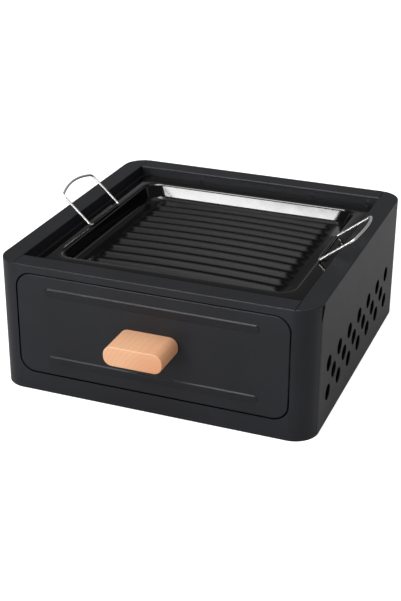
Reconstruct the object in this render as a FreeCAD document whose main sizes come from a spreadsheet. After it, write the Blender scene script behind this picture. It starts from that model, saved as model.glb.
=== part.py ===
# Tabletop charcoal grill: a square sheet steel box with a ribbed grill pan sunk in its top,
# two wire bails on the pan, round vents in both sides and one drawer that holds the fire.
# Frame: millimetres, +Z up, origin at the middle of the footprint, the drawer opens towards -Y.

import FreeCAD
import Part
import Sketcher
import math
import os
import re

Vector = FreeCAD.Vector
Rotation = FreeCAD.Rotation

doc = FreeCAD.newDocument("TabletopCharcoalGrill")
sheet = doc.addObject("Spreadsheet::Sheet", "Sizes")

# Driving dimensions: alias, value in millimetres (or degrees, or a count), what it is.
SIZES = [
    ("width", 320.0, "housing, left to right"),
    ("depth", 324.0, "housing, front to back"),
    ("height", 133.0, "housing, table to rail top"),
    ("corner", 24.0, "plan radius of the housing's four corners"),
    ("gauge", 1.0, "sheet steel of the housing and the drawer"),
    ("side_rail", 20.5, "width of the flat rail along each side"),
    ("end_rail", 22.0, "width of the flat strip at front and back"),
    ("fold", 1.6, "outer radius of the folds into the well at front and back"),
    ("edge_round", 0.8, "rounding of the housing's other folded edges"),
    ("seam_inset", 18.4, "front face to the seam between front and side panel"),
    ("seam_gap", 0.5, "open seam between two panels"),
    ("rail_gap", 0.3, "joint between a strip's end and the side rail"),
    ("notch_width", 7.0, "bend relief at the top of a seam"),
    ("notch_height", 17.0, "bend relief at the top of a seam"),
    ("well_drop", 10.0, "rail top down to the pan's rim"),
    ("ledge_side_gap", 1.0, "ledge to the outside of the pan's side walls"),
    ("ledge_end_gap", 1.85, "ledge to the outside of the pan's back wall"),
    ("ledge_leg", 8.0, "height of the ledge's upright leg"),
    ("rivet", 3.2, "shank of a rivet"),
    ("rivet_head", 6.0, "head of a rivet"),
    ("rivet_dome", 1.1, "height of a rivet's head"),
    ("rivet_tail", 4.0, "set end of a rivet"),
    ("rivet_play", 0.02, "radial play of a shank in its hole"),
    ("rivet_inner", 65.0, "inner pair of ledge rivets from the middle"),
    ("rivet_end", 11.5, "outer pair of ledge rivets from the well's sides"),
    ("vent_bore", 16.0, "vent hole"),
    ("vent_margin", 35.0, "seams to the outermost vents' middles, on average"),
    ("vent_rise", 15.4, "row to row"),
    ("vent_low", 30.5, "height of the lowest row"),
    ("vent_shift", 4.5, "the pattern lies this far forward of the middle"),
    ("vent_count", 7, "vents in the lowest and highest row, one less between"),
    ("vent_rows", 3, "rows of vents"),
    ("base_lip", 12.0, "turned-up edge of the base plate"),
    ("strap_width", 24.0, "backing strap behind a seam"),
    ("strap_end_gap", 1.0, "backing strap to the base plate's lip and to the ledge"),
    ("shield_rise", 11.0, "table to the heat shield's underside"),
    ("shield_side", 5.0, "drawer tray's side wall to the heat shield's edge"),
    ("shield_end", 37.0, "housing's front and back to the heat shield"),
    ("shield_foot", 16.0, "width of a heat shield foot"),
    ("shield_foot_inset", 42.0, "heat shield's end to the middle of a foot"),
    ("face_side", 23.8, "housing's side to the drawer face"),
    ("face_head", 9.0, "rail top to the drawer face"),
    ("face_low", 20.7, "lower edge of the drawer face"),
    ("face_corner", 15.0, "corner radius of the drawer face"),
    ("face_gap", 1.3, "gap round the drawer face"),
    ("face_lip", 9.0, "turned-back edge of the drawer face"),
    ("bead_side", 28.2, "drawer face's side to a bead's end"),
    ("bead_height", 9.5, "pressed bead"),
    ("bead_corner", 4.5, "corner radius of a bead"),
    ("bead_rise", 1.2, "how far a bead stands out"),
    ("bead_round", 0.72, "rounding of a bead's edge"),
    ("bead_head", 11.5, "drawer face's upper edge to the upper bead"),
    ("bead_sill", 10.8, "drawer face's lower edge to the lower bead"),
    ("tray_side", 13.2, "drawer face's side to the tray's side wall"),
    ("tray_back_room", 42.0, "tray's back wall to the housing's back"),
    ("tray_low", 25.0, "underside of the drawer tray"),
    ("tray_headroom", 9.5, "tray's top edge to the underside of the pan"),
    ("tray_flange", 10.0, "sliding flange along each side of the tray"),
    ("runner_gauge", 1.2, "sheet steel of the runners"),
    ("runner_lip", 8.0, "lips of the runner's channel"),
    ("runner_play", 0.5, "side play of the tray's flange in the runner"),
    ("slide_play", 0.2, "play under the tray's flange"),
    ("lift_play", 1.0, "play over the tray's flange"),
    ("runner_front", 12.0, "front face to the runner's front end"),
    ("runner_foot", 12.0, "foot of the runner on the base plate"),
    ("runner_rivets", 3, "rivets along a runner"),
    ("travel", 200.0, "travel of the drawer to its stop"),
    ("stop_tab", 10.0, "height of the stop tabs"),
    ("knob_width", 58.4, "wooden knob"),
    ("knob_height", 19.5, "wooden knob"),
    ("knob_reach", 38.0, "wooden knob, drawer face to front end"),
    ("knob_corner", 8.7, "corner radius of the knob"),
    ("knob_round", 1.6, "rounding of the knob's front edge"),
    ("knob_offset", 2.35, "knob's middle above the middle of the drawer face"),
    ("knob_screws", 30.0, "screw to screw in the knob"),
    ("screw_shank", 4.0, "knob screw"),
    ("screw_length", 18.0, "knob screw under its head"),
    ("screw_head", 8.0, "knob screw"),
    ("screw_dome", 2.6, "height of the knob screw's head"),
    ("screw_slot", 1.0, "slot in the knob screw's head"),
    ("screw_play", 0.2, "radial play round the screw in the sheet"),
    ("pilot_depth", 19.0, "screw hole in the knob, from the screw's seat"),
    ("pilot_play", 0.02, "radial play round the screw in the knob"),
    ("washer", 12.0, "knob washer"),
    ("washer_gauge", 1.0, "knob washer"),
    ("fire_side", 15.0, "drawer tray's side wall to the fire tray"),
    ("fire_end", 15.5, "drawer tray's front and back wall to the fire tray"),
    ("fire_headroom", 15.0, "fire tray's rim below the drawer tray's top edge"),
    ("fire_foot", 4.0, "pressed feet under the fire tray"),
    ("fire_foot_bore", 14.0, "pressed feet under the fire tray"),
    ("fire_rim", 6.0, "turned-out rim of the fire tray"),
    ("fire_corner", 12.0, "corner radius of the fire tray"),
    ("grate_rod", 4.0, "frame rod of the charcoal grate"),
    ("grate_wire", 3.0, "cross wire of the charcoal grate"),
    ("grate_leg", 5.0, "leg of the charcoal grate"),
    ("grate_wires", 15, "cross wires of the charcoal grate"),
    ("grate_margin", 5.0, "grate to fire tray wall"),
    ("grate_level", 12.0, "middle of the grate above the fire tray's floor"),
    ("pan_side_gap", 4.5, "well's sides to the pan's rim"),
    ("pan_front_gap", 9.65, "well's front to the pan's rim, where a finger lifts it"),
    ("pan_back_gap", 0.35, "well's back to the pan's rim"),
    ("pan_corner", 8.0, "outer corner of the pan rim"),
    ("pan_gauge", 1.5, "gauge of the grill pan"),
    ("rim_side", 15.0, "width of the pan's rim at the sides"),
    ("rim_end", 22.5, "width of the pan's rim at front and back"),
    ("bowl_corner", 15.0, "corner radius of the pan opening"),
    ("bowl_foot_corner", 18.0, "corner radius at the foot of the pan's walls"),
    ("bowl_draft", 5.0, "how far each pan wall leans in at its foot"),
    ("bowl_drop", 17.0, "pan rim down to the channel round the ribs"),
    ("bowl_bend", 2.5, "rounding of the pan opening's edge"),
    ("bowl_foot_bend", 4.0, "rounding at the foot of the pan's walls"),
    ("crown", 2.6, "rise of the ribbed floor over the ribs' length"),
    ("channel_end", 6.5, "channel in front of and behind the ribbed floor"),
    ("channel_side", 15.0, "channel beside the ribbed floor"),
    ("rib_count", 12, "ribs in the pan"),
    ("rib_width", 10.0, "rib at its foot"),
    ("rib_height", 4.0, "rib above the floor between ribs"),
    ("rib_edge", 0.3, "ribbed floor beyond the first and last rib"),
    ("wire", 2.5, "bail wire"),
    ("bail_inset", 13.0, "pan rim's outer edge to the bail's rod"),
    ("bail_half", 33.75, "middle of the bail to a leg"),
    ("bail_leg", 42.0, "rod to the end of the leg"),
    ("bail_bow", 6.5, "rise of the bail's arched grip"),
    ("bail_bend", 4.0, "bend radius where leg meets grip"),
    ("bail_foot_bend", 3.0, "bend radius where leg meets rod"),
    ("bail_split", 1.0, "gap between the wire's two ends"),
    ("bail_play", 0.06, "radial play of the rod in its clip"),
    ("left_lean", 43.0, "left bail above level, degrees"),
    ("right_lean", 38.0, "right bail above level, degrees"),
    ("clip_gauge", 0.9, "sheet steel of the bail clip"),
    ("clip_end_gap", 4.75, "bail clip's end to the middle of a leg"),
    ("clip_foot", 5.0, "flat foot of the bail clip"),
]

ALIASES = {alias for alias, value, note in SIZES}
for row, (alias, value, note) in enumerate(SIZES, start=1):
    sheet.set("A%d" % row, note)
    sheet.set("B%d" % row, str(value))
    sheet.setAlias("B%d" % row, alias)
doc.recompute()


def size(alias):
    """The value of one cell."""
    return float(getattr(sheet, alias))


# Places worked out from the cells, as expressions.

FAR = "( 2 * ( width + depth ) )"
PUNCH = "( 4 * gauge )"
TOP = "( height - gauge )"
WELL_X = "( width / 2 - side_rail )"
WELL_Y = "( depth / 2 - end_rail )"
SEAM_Y = "( depth / 2 - seam_inset )"
FRONT = "( -1 * depth / 2 )"
PAN_TOP = "( height - well_drop )"
PAN_WIDTH = "( 2 * %s - 2 * pan_side_gap )" % WELL_X
PAN_LENGTH = "( 2 * %s - pan_front_gap - pan_back_gap )" % WELL_Y
PAN_Y = "( ( pan_front_gap - pan_back_gap ) / 2 )"
BOWL_WIDTH = "( %s - 2 * rim_side )" % PAN_WIDTH
BOWL_LENGTH = "( %s - 2 * rim_end )" % PAN_LENGTH
BOWL_FLOOR = "( %s - bowl_drop )" % PAN_TOP
LEDGE_TOP = "( %s - pan_gauge )" % PAN_TOP
UNDER_LEDGE = "( %s - gauge )" % LEDGE_TOP
LEDGE_X = "( %s / 2 + pan_gauge + ledge_side_gap )" % BOWL_WIDTH
LEDGE_Y = "( %s + %s / 2 + pan_gauge + ledge_end_gap )" % (PAN_Y, BOWL_LENGTH)
RIVET_OUTER = "( %s - rivet_end )" % WELL_X
RIVET_Z = "( %s + ledge_leg / 2 )" % LEDGE_TOP
OUTER = ("width", "depth", "corner")
INNER = ("width - 2 * gauge", "depth - 2 * gauge", "corner - gauge")
LINING = ("width - 4 * gauge", "depth - 4 * gauge", "corner - 2 * gauge")
VENT_PITCH = "( 2 * ( %s - vent_margin ) / ( vent_count - 1 ) )" % SEAM_Y
FACE_WIDTH = "( width - 2 * face_side )"
FACE_HEIGHT = "( height - face_head - face_low )"
FACE_Z = "( face_low + %s / 2 )" % FACE_HEIGHT
KNOB_Z = "( %s + knob_offset )" % FACE_Z
BEAD_LENGTH = "( %s - 2 * bead_side )" % FACE_WIDTH
TRAY_X = "( %s / 2 - tray_side )" % FACE_WIDTH
TRAY_FRONT = "( %s + gauge )" % FRONT
TRAY_BACK = "( depth / 2 - tray_back_room )"
TRAY_LENGTH = "( %s - %s )" % (TRAY_BACK, TRAY_FRONT)
TRAY_HIGH = "( %s - pan_gauge - tray_headroom )" % BOWL_FLOOR
SHIELD_X = "( %s - shield_side )" % TRAY_X
SHIELD_Y = "( depth / 2 - shield_end )"
RUNNER_FRONT = "( %s + runner_front )" % FRONT
RUNNER_BACK = "( %s + 2 * runner_gauge )" % TRAY_BACK
WEB_X = "( %s + tray_flange + runner_play )" % TRAY_X
RIVET_X = "( %s + runner_gauge + runner_foot / 2 )" % WEB_X
RIVET_STEP = "( ( %s - runner_front ) / runner_rivets )" % TRAY_LENGTH
LOWER_LIP = "( tray_low - slide_play )"
UPPER_LIP = "( tray_low + gauge + lift_play )"
STOP_BACK = "( %s + runner_gauge )" % RUNNER_FRONT
FIRE_WIDTH = "( 2 * ( %s - fire_side ) )" % TRAY_X
FIRE_LENGTH = "( %s - 2 * fire_end )" % TRAY_LENGTH
FIRE_Y = "( %s + %s / 2 )" % (TRAY_FRONT, TRAY_LENGTH)
FIRE_Z = "( tray_low + gauge + fire_foot )"
FIRE_HEIGHT = "( %s - fire_headroom - %s )" % (TRAY_HIGH, FIRE_Z)
GRATE_Z = "( %s + gauge + grate_level )" % FIRE_Z
GRATE_X = "( %s / 2 - gauge - grate_margin - grate_rod / 2 )" % FIRE_WIDTH
GRATE_Y = "( %s / 2 - gauge - grate_margin - grate_rod / 2 )" % FIRE_LENGTH
GRATE_RUN = "( 2 * ( %s - grate_rod ) )" % GRATE_Y
CROWN_WIDTH = "( %s - 2 * bowl_draft - 2 * channel_side )" % BOWL_WIDTH
CROWN_LENGTH = "( %s - 2 * bowl_draft - 2 * channel_end )" % BOWL_LENGTH
CROWN_RADIUS = "( ( %s ^ 2 / 4 + crown ^ 2 ) / ( 2 * crown ) )" % CROWN_WIDTH
CROWN_SWING = "( asin( %s / 2 / %s ) )" % (CROWN_WIDTH, CROWN_RADIUS)
CROWN_AXIS_Z = "( %s + crown - %s )" % (BOWL_FLOOR, CROWN_RADIUS)
RIB_ROUND = "( ( ( rib_width / 2 ) ^ 2 + rib_height ^ 2 ) / ( 2 * rib_height ) )"
RIBS_RUN = "( %s - rib_width - 2 * rib_edge )" % CROWN_LENGTH
ROD_X = "( %s / 2 - bail_inset )" % PAN_WIDTH
ROD_Z = "( %s + wire / 2 + bail_play )" % PAN_TOP
GRIP_RADIUS = "( ( bail_half ^ 2 + bail_bow ^ 2 ) / ( 2 * bail_bow ) )"

DIRECTIONS = {"right": (1, 0, 0), "left": (-1, 0, 0), "back": (0, 1, 0), "front": (0, -1, 0),
              "up": (0, 0, 1), "down": (0, 0, -1)}
RIVET_SPOTS = (("inner", "rivet_inner"), ("outer", RIVET_OUTER))
HANDS = (("left", -1), ("right", 1))
ENDS = (("front", -1), ("back", 1))


def bind(obj, prop, text):
    """Bind a property to an expression in which the cells stand by name."""
    obj.setExpression(prop, re.sub("[a-z_]+", with_sheet, text))


def with_sheet(match):
    word = match.group()
    return "Sizes." + word if word in ALIASES else word


def minus(text):
    return "-1 * ( %s )" % text


def times(sign, text):
    return "%d * ( %s )" % (sign, text)


def between(side, inner, outer):
    """The low and high place of something between two distances from the middle, on one side."""
    return (inner, outer) if side > 0 else (minus(outer), minus(inner))


def shifted(point, direction, amount):
    """A point moved along one of the named directions."""
    return tuple("( %s ) + %s" % (p, times(d, amount)) for p, d in zip(point, DIRECTIONS[direction]))


nodes = []


def new_body(name):
    """One sub-part as a body of its own."""
    body = doc.addObject("PartDesign::Body", name)
    body.Label = name
    nodes.append(body)
    return body


def origin_feature(body, role):
    return [f for f in body.Origin.OriginFeatures if f.Role == role][0]


def place(feature, point):
    for axis, text in zip("xyz", point):
        bind(feature, "Placement.Base.%s" % axis, text)


def attach(feature, body, role, offset):
    """Attach a feature to an origin plane of its body, moved in the plane's own axes."""
    feature.AttachmentSupport = [(origin_feature(body, role), "")]
    feature.MapMode = "FlatFace"
    for axis, text in zip("xyz", offset):
        bind(feature, "AttachmentOffset.Base.%s" % axis, text)


# Primitives: each is added to its body or, with cut, taken away from it.

def primitive(body, shape, name, cut):
    return body.newObject("PartDesign::%s%s" % ("Subtractive" if cut else "Additive", shape), name)


def block(body, name, x, y, z, cut=False):
    """A box from its low and high place along each axis."""
    feature = primitive(body, "Box", name, cut)
    for prop, (low, high) in zip(("Length", "Width", "Height"), (x, y, z)):
        bind(feature, prop, "( %s ) - ( %s )" % (high, low))
    place(feature, (x[0], y[0], z[0]))
    return feature


def rod(body, name, radius, length, start, direction="up", cut=False):
    """A cylinder from its start point along a direction."""
    feature = primitive(body, "Cylinder", name, cut)
    feature.Placement = FreeCAD.Placement(Vector(), Rotation(Vector(0, 0, 1), Vector(*DIRECTIONS[direction])))
    bind(feature, "Radius", radius)
    bind(feature, "Height", length)
    place(feature, start)
    return feature


def cap(body, name, head, rise, point, direction):
    """A domed head on a flat seat at the point."""
    feature = primitive(body, "Sphere", name, False)
    feature.Placement = FreeCAD.Placement(Vector(), Rotation(Vector(0, 0, 1), Vector(*DIRECTIONS[direction])))
    ball = "( ( ( %s ) ^ 2 / 4 + ( %s ) ^ 2 ) / ( 2 * %s ) )" % (head, rise, rise)
    bind(feature, "Radius", ball)
    bind(feature, "Angle1", "asin( ( %s - %s ) / %s )" % (ball, rise, ball))
    place(feature, shifted(point, direction, "%s - %s" % (rise, ball)))
    return feature


def rivet(body, name, point, direction, grip, tail=True):
    """A rivet: domed head at the point, shank behind it and, if it shows, the set end."""
    behind = {"right": "left", "left": "right", "front": "back", "back": "front", "up": "down"}[direction]
    cap(body, name + "_head", "rivet_head", "rivet_dome", point, direction)
    rod(body, name + "_shank", "rivet / 2 - rivet_play", grip, point, behind)
    if tail:
        rod(body, name + "_tail", "rivet_tail / 2", "rivet_dome", shifted(point, behind, grip), behind)


def repeat(body, feature, name, length, count, role="Y_Axis"):
    """Repeat a feature along an axis of the body, evenly over a length."""
    row = body.newObject("PartDesign::LinearPattern", name)
    row.Originals = [feature]
    row.Direction = (origin_feature(body, role), [""])
    bind(row, "Length", length)
    bind(row, "Occurrences", count)
    body.Tip = row
    return row


# Sketches.

def rounded_loop(sketch, width, length, radius):
    """Four lines and four tangent arcs about the sketch's origin, sized by three expressions."""
    half_w, half_l, r = 50.0, 40.0, 5.0
    quarter = math.pi / 2
    first = sketch.GeometryCount
    ends = [(r - half_w, -half_l, half_w - r, -half_l), (half_w, r - half_l, half_w, half_l - r),
            (half_w - r, half_l, r - half_w, half_l), (-half_w, half_l - r, -half_w, r - half_l)]
    for x0, y0, x1, y1 in ends:
        sketch.addGeometry(Part.LineSegment(Vector(x0, y0, 0), Vector(x1, y1, 0)), False)
    for k, (sx, sy) in enumerate(((1, -1), (1, 1), (-1, 1), (-1, -1))):
        circle = Part.Circle(Vector(sx * (half_w - r), sy * (half_l - r), 0), Vector(0, 0, 1), r)
        sketch.addGeometry(Part.ArcOfCircle(circle, (k - 1) * quarter, k * quarter), False)
    lines = [first, first + 1, first + 2, first + 3]
    arcs = [first + 4, first + 5, first + 6, first + 7]
    for k in range(4):
        sketch.addConstraint(Sketcher.Constraint("Tangent", lines[k], 2, arcs[k], 1))
        sketch.addConstraint(Sketcher.Constraint("Tangent", arcs[k], 2, lines[(k + 1) % 4], 1))
        sketch.addConstraint(Sketcher.Constraint("Vertical" if k % 2 else "Horizontal", lines[k]))
    for k in range(3):
        sketch.addConstraint(Sketcher.Constraint("Equal", arcs[k], arcs[k + 1]))
    sketch.addConstraint(Sketcher.Constraint("Symmetric", arcs[0], 3, arcs[2], 3, -1, 1))
    size_by(sketch, "Radius", (arcs[0],), r, radius)
    size_by(sketch, "DistanceX", (lines[3], 1, lines[1], 1), 2 * half_w, width)
    size_by(sketch, "DistanceY", (lines[0], 1, lines[2], 1), 2 * half_l, length)


def size_by(sketch, kind, geometry, start, text):
    """A dimension of a sketch, bound to an expression."""
    index = sketch.addConstraint(Sketcher.Constraint(kind, *geometry, start))
    bind(sketch, "Constraints[%d]" % index, text)


def rounded_sketch(body, name, loops, level="0", role="XY_Plane", middle=("0", "0")):
    """A sketch of one rounded rectangle, or of two, one inside the other."""
    sketch = body.newObject("Sketcher::SketchObject", name)
    attach(sketch, body, role, (middle[0], middle[1], level))
    for width, length, radius in loops:
        rounded_loop(sketch, width, length, radius)
    return sketch


def rounded_pad(body, name, loops, height, level="0", role="XY_Plane", middle=("0", "0"), cut=False,
                reverse=False):
    """A pad or pocket of one rounded rectangle, or of the ring between two."""
    feature = body.newObject("PartDesign::Pocket" if cut else "PartDesign::Pad", name)
    feature.Profile = rounded_sketch(body, name + "_sketch", loops, level, role, middle)
    feature.Reversed = reverse
    bind(feature, "Length", height)
    body.Tip = feature
    return feature


def rounded_loft(body, name, top, bottom, cut=False):
    """A loft between two rounded rectangles, each given as loop, level and middle."""
    upper, lower = [rounded_sketch(body, "%s_%s" % (name, end), [loop], level, "XY_Plane", middle)
                    for end, (loop, level, middle) in (("top", top), ("bottom", bottom))]
    feature = body.newObject("PartDesign::%sLoft" % ("Subtractive" if cut else "Additive"), name)
    feature.Profile = upper
    feature.Sections = [lower]
    feature.Ruled = True
    return feature


# Edge roundings.

def round_edges(body, name, radius, test):
    """A fillet on those edges of the body's last feature whose middle passes the test."""
    doc.recompute()
    base = body.Tip
    names = []
    for k, edge in enumerate(base.Shape.Edges, start=1):
        if test(edge, edge.valueAt((edge.FirstParameter + edge.LastParameter) / 2)):
            names.append("Edge%d" % k)
    feature = body.newObject("PartDesign::Fillet", name)
    feature.Base = (base, names)
    bind(feature, "Radius", radius)
    return feature


def close(a, b, within=0.02):
    return abs(a - b) < within


def along(edge, axis):
    """True for a straight edge along the axis."""
    return isinstance(edge.Curve, Part.Line) and close(abs(getattr(edge.Curve.Direction, axis)), 1, 1e-6)


# Front and back panels: a wall that wraps both corners, a flat strip on top and a fold into the well.

def end_panel(name, side):
    body = new_body(name)
    everywhere = (minus(FAR), FAR)
    rounded_pad(body, name + "_wall", [OUTER, INNER], TOP)
    rounded_pad(body, name + "_plate", [OUTER], "gauge", TOP)
    seam = "%s + seam_gap / 2" % SEAM_Y
    inside = (minus(FAR), WELL_Y) if side > 0 else (minus(WELL_Y), FAR)
    beyond = (minus(FAR), seam) if side > 0 else (minus(seam), FAR)
    block(body, name + "_inside", everywhere, inside, (TOP, FAR), cut=True)
    block(body, name + "_seams", everywhere, beyond, ("-1 * gauge", TOP), cut=True)
    for hand_name, hand in HANDS:
        outside = between(hand, "%s - rail_gap" % WELL_X, FAR)
        block(body, "%s_%s_end" % (name, hand_name), outside, everywhere, (TOP, FAR), cut=True)
    block(body, name + "_return", (minus("%s - rail_gap" % WELL_X), "%s - rail_gap" % WELL_X),
          between(side, WELL_Y, "%s + gauge" % WELL_Y), (LEDGE_TOP, TOP))
    outer_y = side * size("depth") / 2
    well_y = side * (size("depth") / 2 - size("end_rail"))
    for fold_name, fold_y, radius in (("outer", outer_y, "edge_round"), ("inner", well_y, "fold")):
        round_edges(body, "%s_%s_fold" % (name, fold_name), radius,
                    lambda e, m: along(e, "x") and close(m.z, size("height")) and close(m.y, fold_y))
    for spot_name, spot in RIVET_SPOTS:
        for hand_name, hand in HANDS:
            rod(body, "%s_%s_%s_hole" % (name, spot_name, hand_name), "rivet / 2", PUNCH,
                (times(hand, spot), "%s + %s / 2" % (times(side, "%s + gauge / 2" % WELL_Y), PUNCH), RIVET_Z),
                "front", cut=True)
    return body


def relief_notch(body, name, hand, side, seam):
    """The wedge between the seam's edge and a line that leans away from it towards the rail.
    The box that cuts it reaches over the seam and past the wall's top, so only its leaning side counts."""
    lean = "atan( notch_width / notch_height )"
    reach = "( seam_inset / 2 )"
    notch = primitive(body, "Box", name, True)
    notch.Placement = FreeCAD.Placement(Vector(), Rotation(Vector(-side, 0, 0), 1))
    bind(notch, "Placement.Rotation.Angle", lean)
    x = between(hand, WELL_X, FAR)
    bind(notch, "Length", "( %s ) - ( %s )" % (x[1], x[0]))
    bind(notch, "Width", reach)
    bind(notch, "Height", "2 * notch_height")
    foot = "%s - notch_height" % TOP
    if side < 0:
        place(notch, (x[0], minus(seam), foot))
    else:
        place(notch, (x[0], "%s - %s * cos( %s )" % (seam, reach, lean),
                      "%s + %s * sin( %s )" % (foot, reach, lean)))


front_panel = end_panel("front_panel", -1)
rounded_pad(front_panel, "drawer_opening",
            [("%s + 2 * face_gap" % FACE_WIDTH, "%s + 2 * face_gap" % FACE_HEIGHT, "face_corner + face_gap")],
            PUNCH, "depth / 2 + gauge", "XZ_Plane", ("0", FACE_Z), cut=True)
back_panel = end_panel("back_panel", 1)


# Side panels: a wall with three rows of vents, a flat rail on top and a fold into the well.

def side_panel(name, side):
    body = new_body(name)
    everywhere = (minus(FAR), FAR)
    seam = "%s - seam_gap / 2" % SEAM_Y
    rounded_pad(body, name + "_wall", [OUTER, INNER], TOP)
    for end_name, end in ENDS:
        relief_notch(body, "%s_%s_notch" % (name, end_name), side, -end, minus(seam))
    rounded_pad(body, name + "_plate", [OUTER], "gauge", TOP)
    beyond = (minus(FAR), WELL_X) if side > 0 else (minus(WELL_X), FAR)
    block(body, name + "_inside", beyond, everywhere, ("-1 * gauge", FAR), cut=True)
    for end_name, end in ENDS:
        block(body, "%s_%s_seam" % (name, end_name), everywhere, between(end, seam, FAR),
              ("-1 * gauge", TOP), cut=True)
    block(body, name + "_return", between(side, WELL_X, "%s + gauge" % WELL_X),
          (minus(WELL_Y), WELL_Y), (LEDGE_TOP, TOP))
    outer_x = side * size("width") / 2
    well_x = side * (size("width") / 2 - size("side_rail"))
    for fold_name, fold_x in (("outer", outer_x), ("inner", well_x)):
        round_edges(body, "%s_%s_fold" % (name, fold_name), "edge_round",
                    lambda e, m: along(e, "y") and close(m.z, size("height")) and close(m.x, fold_x))
    for level in range(int(size("vent_rows"))):
        count = "vent_count - %d" % (level % 2)
        span = "%s * ( %s - 1 )" % (VENT_PITCH, count)
        start = ("%s - %s / 2" % (times(side, "width / 2 - gauge / 2"), PUNCH),
                 "-1 * vent_shift - %s / 2" % span, "vent_low + %d * vent_rise" % level)
        vent = rod(body, "%s_vent_%d" % (name, level), "vent_bore / 2", PUNCH, start, "right", cut=True)
        repeat(body, vent, "%s_vent_row_%d" % (name, level), span, count)
    for end_name, end in ENDS:
        rod(body, "%s_%s_hole" % (name, end_name), "rivet / 2", PUNCH,
            ("%s - %s / 2" % (times(side, "%s + gauge / 2" % WELL_X), PUNCH), times(end, "rivet_inner"),
             RIVET_Z), "right", cut=True)
    return body


for hand_name, hand in HANDS:
    side_panel(hand_name + "_side_panel", hand)


# Base plate: a flat floor with a turned-up lip that the four panels are welded to.

base_plate = new_body("base_plate")
rounded_pad(base_plate, "base_floor", [INNER], "gauge")
rounded_pad(base_plate, "base_lip", [INNER, LINING], "base_lip")
for hand_name, hand in HANDS:
    hole = rod(base_plate, "base_hole_%s" % hand_name, "rivet / 2", PUNCH,
               (times(hand, RIVET_X), "%s + %s / 2" % (RUNNER_FRONT, RIVET_STEP), "-1 * gauge"), cut=True)
    repeat(base_plate, hole, "base_holes_%s" % hand_name, "%s * ( runner_rivets - 1 )" % RIVET_STEP,
           "runner_rivets")


# Ledge: an angle ring riveted to the folds of the four rails, which carries the pan's rim.

ledge_frame = new_body("ledge_frame")
LEDGE_OUT = ("2 * %s + 4 * gauge" % WELL_X, "2 * %s + 4 * gauge" % WELL_Y, "2 * gauge")
LEDGE_LEG_IN = ("2 * %s + 2 * gauge" % WELL_X, "2 * %s + 2 * gauge" % WELL_Y, "gauge")
LEDGE_IN = ("2 * %s" % LEDGE_X, "2 * %s" % LEDGE_Y, "bowl_corner")
rounded_pad(ledge_frame, "ledge_plate", [LEDGE_OUT, LEDGE_IN], "gauge", "%s - gauge" % LEDGE_TOP)
rounded_pad(ledge_frame, "ledge_upright", [LEDGE_OUT, LEDGE_LEG_IN], "ledge_leg", LEDGE_TOP)
for hand_name, hand in HANDS:
    for spot_name, spot in RIVET_SPOTS:
        rod(ledge_frame, "ledge_%s_%s_holes" % (spot_name, hand_name), "rivet / 2", "2 * %s" % FAR,
            (times(hand, spot), FAR, RIVET_Z), "front", cut=True)
for end_name, end in ENDS:
    rod(ledge_frame, "ledge_%s_side_holes" % end_name, "rivet / 2", "2 * %s" % FAR,
        (minus(FAR), times(end, "rivet_inner"), RIVET_Z), "right", cut=True)

ledge_rivets = new_body("ledge_rivets")
for end_name, end in ENDS:
    facing = "back" if end < 0 else "front"
    for hand_name, hand in HANDS:
        for spot_name, spot in RIVET_SPOTS:
            rivet(ledge_rivets, "%s_%s_%s" % (end_name, hand_name, spot_name),
                  (times(hand, spot), times(end, WELL_Y), RIVET_Z), facing, "2 * gauge")
        rivet(ledge_rivets, "%s_side_%s" % (hand_name, end_name),
              (times(hand, WELL_X), times(end, "rivet_inner"), RIVET_Z),
              "right" if hand < 0 else "left", "2 * gauge")


# Backing straps: a strip of the same curve behind each of the four seams.

for end_name, end in ENDS:
    for hand_name, hand in HANDS:
        name = "%s_%s_seam_strap" % (end_name, hand_name)
        strap = new_body(name)
        rounded_pad(strap, name + "_ring", [INNER, LINING], "%s - base_lip - 2 * strap_end_gap" % UNDER_LEDGE,
                    "base_lip + strap_end_gap")
        near = "%s - strap_width / 2" % SEAM_Y
        far = "%s + strap_width / 2" % SEAM_Y
        everywhere = (minus(FAR), FAR)
        block(strap, name + "_before", everywhere, between(end, far, FAR), everywhere, cut=True)
        block(strap, name + "_behind", everywhere, between(end, minus(FAR), near), everywhere, cut=True)
        block(strap, name + "_other", between(hand, minus(FAR), "0"), everywhere, everywhere, cut=True)


# Heat shield: a plate on four turned-down feet that keeps the heat off the base.

heat_shield = new_body("heat_shield")
block(heat_shield, "shield_plate", (minus(SHIELD_X), SHIELD_X), (minus(SHIELD_Y), SHIELD_Y),
      ("shield_rise", "shield_rise + gauge"))
for end_name, end in ENDS:
    for hand_name, hand in HANDS:
        middle = times(end, "%s - shield_foot_inset" % SHIELD_Y)
        block(heat_shield, "shield_foot_%s_%s" % (end_name, hand_name),
              between(hand, "%s - gauge" % SHIELD_X, SHIELD_X),
              ("%s - shield_foot / 2" % middle, "%s + shield_foot / 2" % middle),
              ("gauge", "shield_rise"))


# Runners: a channel on each side that the tray's flange slides in, on a foot on the base plate.

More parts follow.
